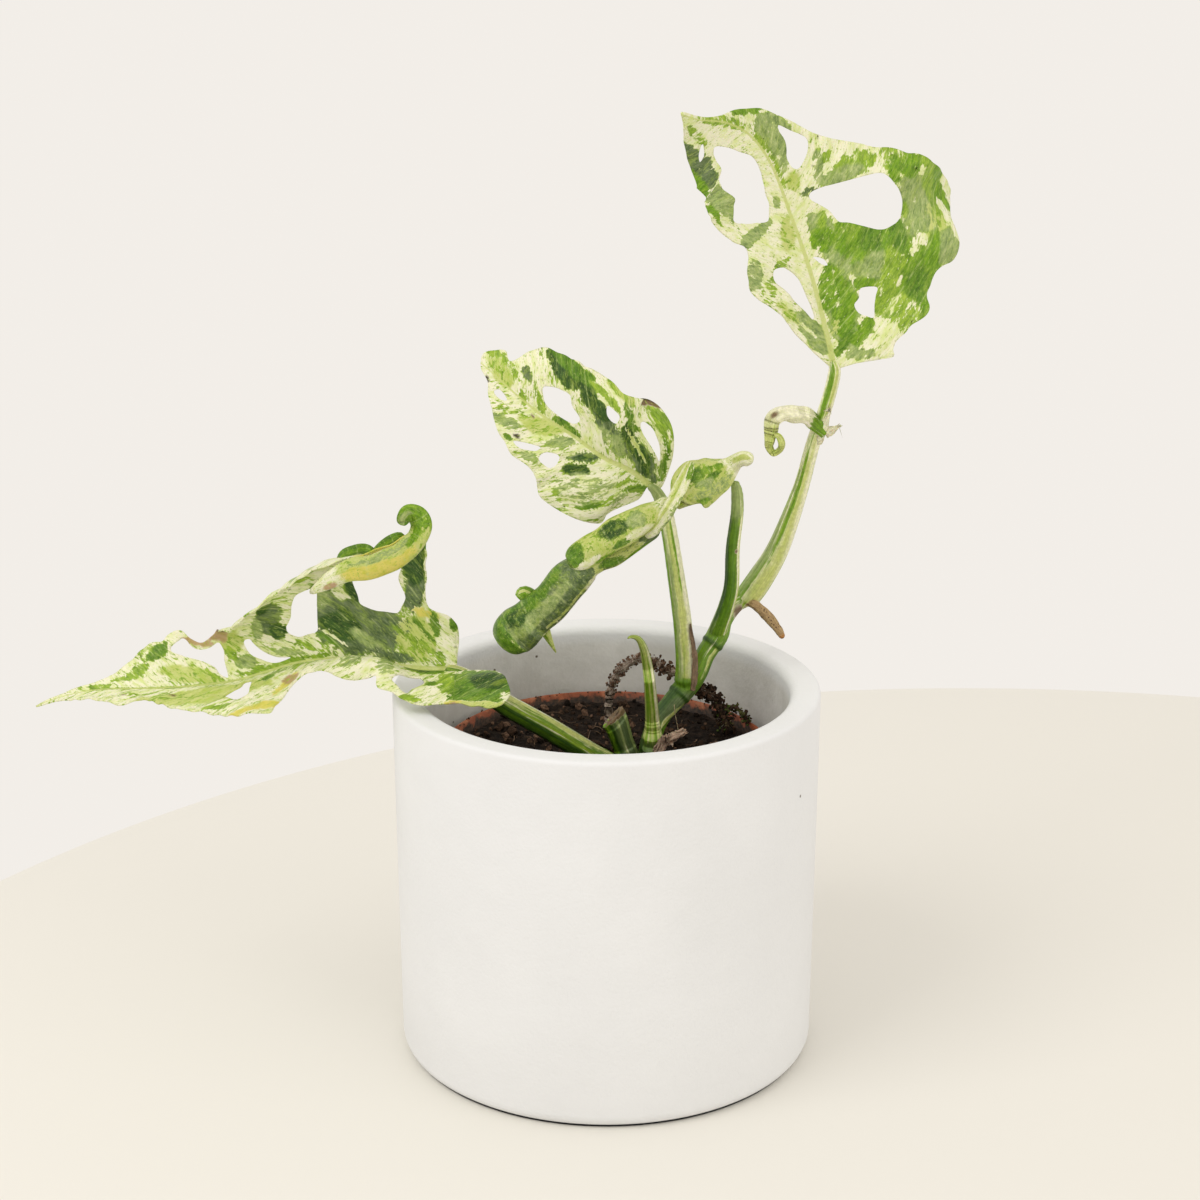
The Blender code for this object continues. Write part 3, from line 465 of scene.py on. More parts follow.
def brush(u, v, ground, strokes, seed, soft=0.16):
    """The green tone, the pale tone and the share of green at each place, after all the strokes.

    A stroke is (tone, u, v, half length, half width, turned by degrees, share of green). The last
    two can be left out; the stroke is then not turned and has the usual share of its tone.
    """
    green = np.tile(GREENS["bright"], (len(u), 1))
    pale = np.tile(CREAMS["cream"], (len(u), 1))
    share = np.full(len(u), ground)
    rough = [noise.noise((a * 0.22, b * 0.22, seed)) for a, b in zip(u, v)]
    finer = [noise.noise((a * 0.7, b * 0.7, seed + 9)) for a, b in zip(u, v)]
    rough = np.array(rough) + 0.6 * np.array(finer)
    for tone, mid_u, mid_v, half_long, half_wide, *rest in strokes:
        turned, amount = rest + [0, SHARE_OF_GREEN.get(tone, 0.0)][len(rest):]
        a = math.radians(turned)
        along = (u - mid_u) * math.cos(a) + (v - mid_v) * math.sin(a)
        aside = (v - mid_v) * math.cos(a) - (u - mid_u) * math.sin(a)
        away = np.hypot(along / half_long, aside / half_wide) + 0.30 * rough
        cover = smooth((1.0 + soft / 2 - away) / soft)[:, None]
        if tone in GREENS:
            green += (np.array(GREENS[tone]) - green) * cover
        else:
            pale += (np.array(CREAMS[tone]) - pale) * cover
        share += (amount - share) * cover[:, 0]
    return green, pale, share


# %% Leaf finish
def leaf_finish(name, seed, underside=False):
    """Marbled green and cream, with fine veins that run outwards from the midrib.

    The grain of a blade is (foot of the lateral vein, v) in centimetres, and the midrib's width.
    """
    tree, shader, finish = new_finish(name)
    grain = attribute(tree, "grain")
    along = vector_node(tree, "MULTIPLY", grain, (1.0, 0.58, 1.0))
    along = vector_node(tree, "ADD", along, (seed, seed * 0.7, 0))
    foot, off, rib = (part(tree, grain, name) for name in "XYZ")
    off = math_node(tree, "ABSOLUTE", off)
    green = add(tree, "Attribute", attribute_name="green_tone")
    pale = attribute(tree, "pale_tone", "Color")
    share = green.outputs["Alpha"]
    blotch = speckle(tree, along, 5.0, 4, 0.62, 0.6)
    fleck = speckle(tree, along, 13, 3, 0.6, 0.4)
    wobble = math_node(tree, "MULTIPLY_ADD", math_node(tree, "SUBTRACT", blotch, 0.5), 1.8, share)
    wobble = math_node(tree, "MULTIPLY_ADD", math_node(tree, "SUBTRACT", fleck, 0.5), 1.35, wobble)
    # Greens: soft mottles of lighter and darker cells, and yellow-green flecks
    streak = speckle(tree, along, 6.5, 5, 0.66, 0.5)
    fine = speckle(tree, along, 26, 2, 0.6)
    lift = ramp(tree, streak, [(0.34, (0.56, 0.62, 0.56)), (0.5, (1.0, 1.0, 1.0)), (0.66, (1.5, 1.3, 1.7))])
    greens = tinted(tree, green.outputs["Color"], lift)
    cloud = edge(tree, speckle(tree, along, 3.4, 5, 0.7, 0.5), 0.50, 0.66)
    greens = blend_colour(tree, times(tree, cloud, 0.42), greens, (0.33, 0.45, 0.055))
    peppered = ramp(tree, fine, [(0.36, (0.82, 0.86, 0.8)), (0.62, (1.16, 1.12, 1.2))])
    greens = tinted(tree, greens, peppered)
    light = edge(tree, speckle(tree, along, 11, 5, 0.7, 0.6), 0.54, 0.63)
    greens = blend_colour(tree, times(tree, light, 0.42), greens, (0.42, 0.52, 0.12))
    # Pale parts: a breath of yellow green in the cream, and small green specks
    tinge = speckle(tree, along, 4.0, 3, 0.6)
    tinge = ramp(tree, tinge, [(0.44, (1.0, 1.0, 1.0)), (0.66, (0.80, 0.90, 0.50))])
    creams = tinted(tree, pale, tinge)
    speck = edge(tree, speckle(tree, along, 15, 3, 0.6), 0.595, 0.66)
    creams = blend_colour(tree, times(tree, speck, 0.8), creams, (0.36, 0.46, 0.075))
    seam = times(tree, edge(tree, wobble, 0.38, 0.47), 0.62)
    colour = blend_colour(tree, seam, creams, (0.46, 0.56, 0.13))
    colour = blend_colour(tree, edge(tree, wobble, 0.46, 0.56), colour, greens)
    # Veins: fine parallel lines, a pale lateral in every furrow and the pale midrib
    lines = math_node(tree, "SINE", math_node(tree, "MULTIPLY_ADD", foot, 24.0, times(tree, blotch, 3.0)))
    lines = math_node(tree, "ABSOLUTE", lines)
    thin = times(tree, edge(tree, lines, 0.16, 0.02), 0.16)
    colour = blend_colour(tree, thin, colour, (0.62, 0.66, 0.34))
    bent = math_node(tree, "SINE", math_node(tree, "MULTIPLY_ADD", foot, 10 / 6, seed))
    furrow = math_node(tree, "MULTIPLY_ADD", foot, math.pi * 10 / QUILT_PITCH, times(tree, bent, 0.65))
    furrow = math_node(tree, "ABSOLUTE", math_node(tree, "SINE", furrow))
    lateral = times(tree, edge(tree, furrow, 0.17, 0.02), edge(tree, streak, 0.40, 0.60))
    colour = blend_colour(tree, times(tree, lateral, 0.5), colour, (0.54, 0.62, 0.24))
    stripe = edge(tree, math_node(tree, "SUBTRACT", off, times(tree, rib, 0.09)), 0.03, -0.005)
    colour = blend_colour(tree, times(tree, stripe, 0.85), colour, (0.56, 0.61, 0.20))
    if underside:
        colour = blend_colour(tree, 0.28, colour, (0.52, 0.56, 0.36))
    rough_low, rough_high, cells_stand = (0.52, 0.64, -0.06) if underside else (0.33, 0.45, 0.06)
    cells = add(tree, "TexVoronoi", {"Vector": grain, "Scale": 6.0}, feature="DISTANCE_TO_EDGE")
    net = relief(tree, edge(tree, cells.outputs["Distance"], 0.0, 0.12), cells_stand, 0.7)
    ridges = relief(tree, lines, 0.05, 0.5, net)
    fill(tree, shader, {
        "Base Color": colour, "Roughness": greys(tree, streak, 0.35, rough_low, 0.65, rough_high),
        "Specular IOR Level": 0.22, "Subsurface Weight": 0.06, "Subsurface Radius": (0.6, 1.0, 0.25),
        "Subsurface Scale": 0.0012, "Normal": relief(tree, streak, 0.14, 0.5, ridges),
    })
    return finish


# %% [markdown]
# ## Relief of a blade
# A real blade is never flat between its veins. It sinks in a groove over the midrib, it is
# quilted between the lateral veins, and it has small dents. All of that is a height along the
# face's direction, added while the flat sheet is bent.


# %% Making a leaf
THICKNESS, GROOVE, QUILT = 0.5, 0.5, 0.5  # millimetres


def make_leaf(name, leaf, step, seed, stands_for, dents=0.5, lean=0.62):
    """Cut a blade, paint it, bend it with its relief over its midrib and give it a thickness."""
    bm = flat_blade(leaf["outline"], leaf["holes"], step)
    blade = Blade(*[leaf[key] for key in ("spine", "facing", "left", "right")], leaf.get("ruffle", RUFFLE))
    u = np.array([v.co.x for v in bm.verts])
    v = np.array([v.co.y for v in bm.verts])
    foot = vein_foot(u, v, lean)
    fade = np.clip(1 - u / (1.05 * blade.length), 0.1, 1)
    height = -GROOVE * fade * np.exp(-((v / 1.1) ** 2))
    swell = 0.5 - 0.5 * np.cos(2 * np.pi * foot / QUILT_PITCH + 1.3 * np.sin(foot / 6 + seed))
    height += QUILT * swell * smooth((np.abs(v) - 1) / 7)
    dent = [
        noise.noise((a * 0.13, b * 0.13, seed)) + 0.4 * noise.noise((a * 0.4, b * 0.4, seed + 5))
        for a, b in zip(u, v)
    ]
    height += dents * np.array(dent) * smooth(np.abs(v) / 6)
    places = blade.at(u, v) + blade.outward(u, v) * height[:, None]
    green, pale, share = brush(u, v, leaf["ground"], leaf["strokes"], seed)
    grain = bm.verts.layers.float_vector.new("grain")
    green_tone = bm.verts.layers.float_color.new("green_tone")
    pale_tone = bm.verts.layers.float_color.new("pale_tone")
    for i, vert in enumerate(bm.verts):
        vert.co = places[i] * MM
        vert[grain] = (foot[i] * 0.1, v[i] * 0.1, fade[i] if 0 < u[i] else 0.4)
        vert[green_tone] = (*green[i], share[i])
        vert[pale_tone] = (*pale[i], 1)
    finishes = [leaf_finish(name + "_back", seed, True), leaf_finish(name + "_face", seed)]
    piece = finished(name, bm, finishes, stands_for)
    solid = piece.modifiers.new("thickness", "SOLIDIFY")
    solid.thickness = THICKNESS * MM
    solid.offset = 0
    solid.material_offset = 1
    solid.material_offset_rim = 1


# %% [markdown]
# ## Top leaf
# It faces the viewer with its tip arched over to the left. Its left half is mostly cream, its
# right half is a patchwork of bright and dark green, and the holes are large.

# %% Top leaf: shape
TOP_LEAF = dict(
    spine=[
        (73, 14, 227), (69, 16, 243), (64, 18, 260), (58, 19, 276), (52, 18, 291), (45, 14, 301),
        (37, 8, 306), (28, 0, 308), (23, -5, 310),
    ],
    facing=[
        (0, -1, 0.2), (0, -1, 0.2), (0, -1, 0.2), (0, -1, 0.2), (0.1, -1, 0.1), (0.2, -1, -0.1),
        (0.3, -1, -0.4), (0.2, -1, -0.6), (0.2, -1, -0.6),
    ],
    left=[
        (30, 35, 35, 30), (30, 35, 35, 30), (30, 35, 35, 30), (25, 30, 35, 40), (20, 20, 25, 40),
        (15, 15, 20, 40), (10, 10, 20, 40), (5, 5, 20, 40), (0, 0, 20, 40),
    ],
    right=[
        (10, 10, 0, -10, -20), (5, 5, 0, -15, -30), (5, 0, 0, -15, -40), (5, 0, 0, -10, -40),
        (5, 0, -5, -15, -40), (0, -15, -20, -30, -40), (-20, -40, -60, -60, -60), (-40, -70, -80, -80, -80),
        (-30, -60, -80, -90, -90),
    ],
    outline=[
        (0, 0.6), (0.5, 8), (0, 15), (0, 19.2), (2.3, 19.6), (4.8, 21.3), (6.5, 24.3), (8.5, 27), (9.8, 31.5),
        (11.8, 33.8), (15.5, 34.3), (18, 36.5), (21.3, 39), (22.5, 42), (23.6, 46), (27.5, 48.5), (30.8, 49),
        (34, 50.5), (37.5, 56), (40.5, 59), (46, 53), (50.5, 47), (54, 45), (56.5, 41), (59.3, 37),
        (60.8, 32.5), (63, 28.8), (64.8, 25), (67.3, 20), (70, 16.5), (72.5, 14.5), (76.5, 12), (79.5, 10.3),
        (82, 9.2), (84, 8.3), (87, 6.3), (90.7, 4.5), (94.5, 2), (99.5, 1), (106, 1), (112.5, 0.5),
        (108, -3.5), (104.3, -8.5), (100.7, -14.2), (95.7, -20), (91.5, -22.5), (80, -25.5), (67, -28.5),
        (58, -27), (52.5, -24), (49, -20.7), (45.5, -21), (43, -23), (36.5, -24.5), (31, -23.5), (27, -20.5),
        (21.5, -15.5), (15, -12), (10.3, -8.8), (6, -5.5), (2, -2), (0, -0.6),
    ],
    holes=[
        [
            (93.3, -8.3), (88, -7), (81, -6), (75.5, -4), (70, -4.2), (62.5, -5.7), (57, -6.2), (53, -8.5),
            (54, -13), (55.5, -17), (58.3, -20.2), (66.5, -17.2), (74, -18.3), (79, -17.8), (83.5, -16.8),
            (85.5, -14), (90, -11.8),
        ],
        [(99, -8), (97.6, -8.5), (96, -12), (96.5, -14), (98, -12)],
        [
            (55.8, 8), (56.2, 12.5), (55.3, 20.7), (54.7, 26.3), (53.8, 31), (51.7, 32.7), (48.8, 34),
            (44.5, 35.3), (41.2, 34.6), (38.3, 32.3), (37.2, 28.5), (37.5, 24.8), (40, 20.5), (42.5, 16.5),
            (44, 13.5), (48, 12), (51.3, 9.5), (54, 7.5),
        ],
        [
            (77.3, 8.6), (74.2, 10.5), (70.2, 13.5), (67.7, 12.6), (65.6, 10.3), (64, 7.5), (65, 5.6),
            (68.2, 5.2), (70.5, 6.4), (73, 7.4), (76, 7.6),
        ],
        [
            (37.3, -14), (37, -9.5), (34.7, -7), (31.7, -5.2), (27, -4.2), (22.5, -3.3), (18.3, -2.9),
            (17.7, -4.4), (21.2, -6.4), (25.3, -9.6), (29.8, -12.2), (34, -14.5),
        ],
        [
            (23, 14), (22, 19), (19.5, 18), (17, 17), (13.3, 15.8), (14.2, 13.6), (15.8, 11.4), (18.6, 10.7),
            (20.2, 12.6),
        ],
        [(36.4, 2.3), (35.5, 4.4), (34.2, 5.6), (32.6, 5.9), (33.4, 4.2)],
    ],
    ground=0.17,
)

# %% Top leaf: splashes of green
TOP_LEAF["strokes"] = [
    # right half, from the stalk outwards
    ("sage", 18, 7, 13, 5.5, 6), ("grass", 18, 7.5, 10, 4.2, 12), ("grass", 26, 5, 8, 4, 20, 0.72),
    ("deep", 8, 5, 5, 1.8, 45), ("grass", 10, 11.5, 5, 2.6, 50), ("sage", 3, 9, 1.8, 4.5, 5, 0.8),
    ("lime", 13, 3, 3, 1.5, 30, 0.4), ("sage", 31, 17, 6, 12, 35), ("grass", 38, 15, 6, 7, 60),
    ("deep", 36, 22, 4.5, 4, 50), ("sage", 45, 8, 3.5, 5, 60), ("grass", 41, 7, 4, 4, 0, 0.8),
    ("bright", 46, 8.5, 3, 1.7, 20, 1), ("grass", 24, 16, 2.2, 4.5, 15, 1), ("bright", 18, 21, 6, 6, 40, 0.8),
    ("grass", 33, 29, 9, 4.2, 12), ("bright", 27, 26, 8, 3.4, 35, 0.74), ("deep", 34, 30, 6, 2.4, 10),
    ("grass", 19, 33, 14, 6.5, 38), ("deep", 17, 30, 10, 3.2, 30), ("bright", 12, 26, 5, 6, 70, 0.66),
    ("sage", 41, 39, 9, 7, 10, 0.9), ("lime", 33, 43, 8, 4, 25, 0.5), ("sage", 27, 45, 5.5, 4, 35),
    ("grass", 28, 39, 5, 2, 35, 1), ("bright", 46, 49, 12, 5.5, -8), ("grass", 43, 51.5, 8, 2.6, -8, 1),
    ("grass", 53, 40, 5, 4, -35), ("bright", 57, 36, 4, 4.5, 60, 0.7), ("grass", 53, 35.3, 4.2, 2, 15, 1),
    ("cream", 56, 31.5, 3.4, 1.2, 60), ("cream", 33, 49.5, 5.5, 2, 10, 0.2),
    ("bright", 59, 24.5, 3, 7, 5, 0.7), ("sage", 57.5, 20, 2.4, 7, 0, 0.95),
    ("bright", 40, 34.8, 2.6, 1.3, 30, 0.9), ("sage", 76, 5.6, 8, 5, 0, 0.92),
    ("sage", 68, 3.2, 3.4, 2.4, 20, 0.7), ("sage", 62, 13, 5, 1.8, 20, 0.6),
    ("bright", 64, 17, 2, 1.2, 60, 0.8), ("grass", 88, 6.4, 5.5, 2.2, -25, 1),
    ("bright", 94, 0.5, 11, 1.8, 0, 0.62), ("bright", 72, 1.4, 14, 1, 0, 0.6),
    ("slate", 56, 8, 1.5, 3, 20, 0.7), ("lime", 61, 4.5, 3, 2.5, 30),
    # left half
    ("sage", 71, -21, 14, 4.5, -4), ("grass", 71, -26.6, 13, 1.5, -6, 1),
    ("slate", 95, -15, 14, 3.4, 22, 0.9), ("grass", 93, -20.4, 10, 1.6, 22, 1),
    ("bright", 101, -6, 6, 1.6, 30, 0.6), ("sage", 51, -15, 2, 8, -12, 0.95),
    ("cream", 56, -23, 6, 1.5, 10, 0.2), ("sage", 38, -22, 5, 3.4, 20, 0.72),
    ("bright", 31, -18, 8, 2.6, 35, 0.52), ("bright", 38.2, -10, 1.2, 4.5, -10, 0.7),
    ("sage", 14, -5.5, 9, 3.6, -28, 0.86), ("cream", 17, -8.4, 9, 0.7, -38, 0.2),
    ("lime", 22, -13, 6, 1.6, -40, 0.45), ("lime", 46, -4, 5, 3, 20), ("sage", 57, -3.3, 2, 1.6, 30, 0.8),
]
make_leaf("top_leaf", TOP_LEAF, 0.85, 3.1, ["leaf_top"])

# %% [markdown]
# ## Middle leaf
# It points up to the left. A dark sector runs from the stalk along the far half, and the rest is
# finely marbled. The far margin has a dead brown edge, as old leaves get.

# %% Middle leaf
MIDDLE_LEAF = dict(
    spine=[
        (16, 14, 187), (8, 12, 194), (-1, 10, 199), (-10, 9, 206), (-19, 9, 212), (-28, 10, 219),
        (-35, 12, 225), (-40, 14, 229),
    ],
    facing=[
        (0, -1, 0.3), (0, -1, 0.3), (0, -1, 0.3), (0, -1, 0.3), (0, -1, 0.3), (0, -1, 0.3), (0, -1, 0.3),
        (0, -1, 0.3),
    ],
    left=[
        (10, 0, -20), (10, 0, -20), (10, 0, -25), (10, 0, -25), (10, 0, -25), (5, 0, -30), (0, 0, -50),
        (0, 0, -50),
    ],
    right=[
        (15, 15, -10, -40), (15, 20, -20, -50), (20, 25, -30, -50), (20, 25, -40, -60), (20, 20, -50, -60),
        (15, 5, -50, -60), (10, -20, -60, -60), (0, -40, -60, -60),
    ],
    outline=[
        (0, -0.8), (3, -1), (3, -6), (6, -11), (9.5, -15.5), (13, -19.5), (18, -21), (23, -22), (28, -22.5),
        (33, -21.5), (37, -18), (41, -16), (46, -16), (50, -14), (53, -13), (56, -11), (59, -8.5), (63, -6),
        (66, -3), (70, -1.5), (72, 0.5), (73, 3), (71, 6), (68, 8), (65, 6.5), (63.5, 9), (62.5, 13),
        (60, 17), (56, 18.5), (51, 20), (46, 21.5), (42, 22), (38, 23), (34, 22.5), (30, 21), (25, 23),
        (19, 24), (14, 23.5), (11, 21), (8.5, 18), (6, 14.5), (3.5, 11), (1, 6.5), (-0.5, 3), (-0.5, 0.8),
    ],
    holes=[
        [
            (51, 7.5), (49, 9.5), (45, 11), (42, 11), (39.5, 8.5), (36, 7), (34.8, 5.5), (35.5, 3.5), (38, 3),
            (42, 3), (46.5, 3.5), (49, 5),
        ],
        [(31.5, 15), (29.5, 15.3), (27, 15), (26, 13.5), (26, 12), (27.5, 11.7), (30, 12.7)],
        [
            (16, 15.8), (14.8, 16.6), (12.5, 15.8), (10.8, 14), (8.3, 11.3), (6, 8), (8, 9), (11.3, 11), (14, 13),
        ],
        [(48, -12.3), (46, -10.8), (42.5, -9.3), (40.6, -8.8), (41, -10.3), (42.5, -11.5), (45.3, -12.8)],
        [
            (39.6, -11), (38.3, -9), (35.3, -8), (33.5, -8.5), (33.3, -11.3), (34.8, -13), (37, -13),
            (39, -12.6),
        ],
        [(62.3, -4), (61.3, -2.4), (58.6, -2.6), (57.2, -3.4), (58.7, -4.5), (60.8, -4.6)],
    ],
    ground=0.30,
    strokes=[
        # far half, from the stalk outwards
        ("slate", 12, 6, 9, 3.2, 28), ("dark", 12, 6.5, 8, 2.2, 32), ("dark", 19.5, 11.5, 5, 2.4, 40),
        ("lime", 15, 9, 8, 0.7, 35, 0.3), ("sage", 21, 7, 6, 2.2, 35, 0.9), ("slate", 29, 10.5, 6, 3, 20),
        ("dark", 34, 13, 6, 2.4, 12), ("sage", 26, 6.5, 4, 1.8, 30, 0.75), ("dark", 47, 16, 11, 3.4, 4),
        ("deep", 49, 18.6, 11, 2.2, 4, 1), ("deep", 44, 19.5, 6, 1.3, -4, 0.95),
        ("cream", 55, 11, 6, 1.6, 30, 0.2), ("lime", 30, 21, 6, 1.8, 10, 0.5),
        ("bright", 33, 17.2, 5, 1.2, 12, 0.8), ("deep", 22, 16, 7, 1.5, 25, 0.8),
        ("deep", 8, 15, 7, 1.4, 50, 0.85), ("deep", 4, 8, 5, 1.4, 60, 0.9),
        ("bright", 12, 19, 8, 2.2, 35, 0.6), ("cream", 5, 13, 6, 1, 60, 0.2), ("tan", 17.5, 23, 5, 1.7, -4),
        ("husky", 17, 24, 3.6, 0.9, -4), ("cream", 29, 4.6, 5.5, 2.6, 25, 0.14),
        ("deep", 37, 1.4, 5.5, 1.6, 3, 0.95), ("bright", 49, 3.5, 5, 1.1, 38, 0.7),
        ("bright", 54, 0.6, 3.5, 1, 38, 0.75), ("slate", 58, 7.5, 2.6, 1.5, 20, 0.9),
        ("bright", 61, 5, 4, 1, 20, 0.55), ("bright", 69, 5.2, 3.8, 1.8), ("lime", 64, 2, 6, 3, 10, 0.42),
        # near half
        ("slate", 27, -3.8, 5.2, 1.5, -36), ("dark", 27, -4, 4.2, 0.9, -36),
        ("dark", 26.5, -8.2, 4.6, 1.7, -32), ("sage", 36, -4, 4.4, 1.8, -34),
        ("deep", 6, -3.6, 7, 1.2, -38, 0.9), ("bright", 12, -5, 7, 0.9, -40, 0.7),
        ("sage", 11, -10, 5, 1.5, -42, 0.6), ("bright", 16, -13, 5, 1.5, -42, 0.6),
        ("bright", 27, -17, 1.8, 1.5, 0, 0.95), ("deep", 19, -16, 3.5, 1, -40, 0.7),
        ("sage", 22, -12, 8, 4, -35, 0.5), ("sage", 42, -13.5, 2.2, 1.6, -30, 0.8),
        ("sage", 53, -8.6, 5, 1.6, -20, 0.75), ("deep", 50, -12.4, 1.6, 1, 0, 0.9),
        ("bright", 55, -5, 4, 1, -30, 0.6), ("lime", 44, -3, 7, 2.6, -25, 0.4),
        ("husky", 48, -10.4, 1.1, 0.8), ("husky", 66.4, -2.6, 1.1, 0.6, 20), ("tan", 48, -2.2, 0.8, 0.6),
    ],
)
make_leaf("middle_leaf", MIDDLE_LEAF, 0.7, 7.4, ["leaf_middle"], lean=0.75)

# %% [markdown]
# ## Left leaf
# It lies out to the left over the lip. Its far half stands up as a dark wall and rolls over at the
# top, its long tip is creamy, and its basal lobe near the stalk is deep green.

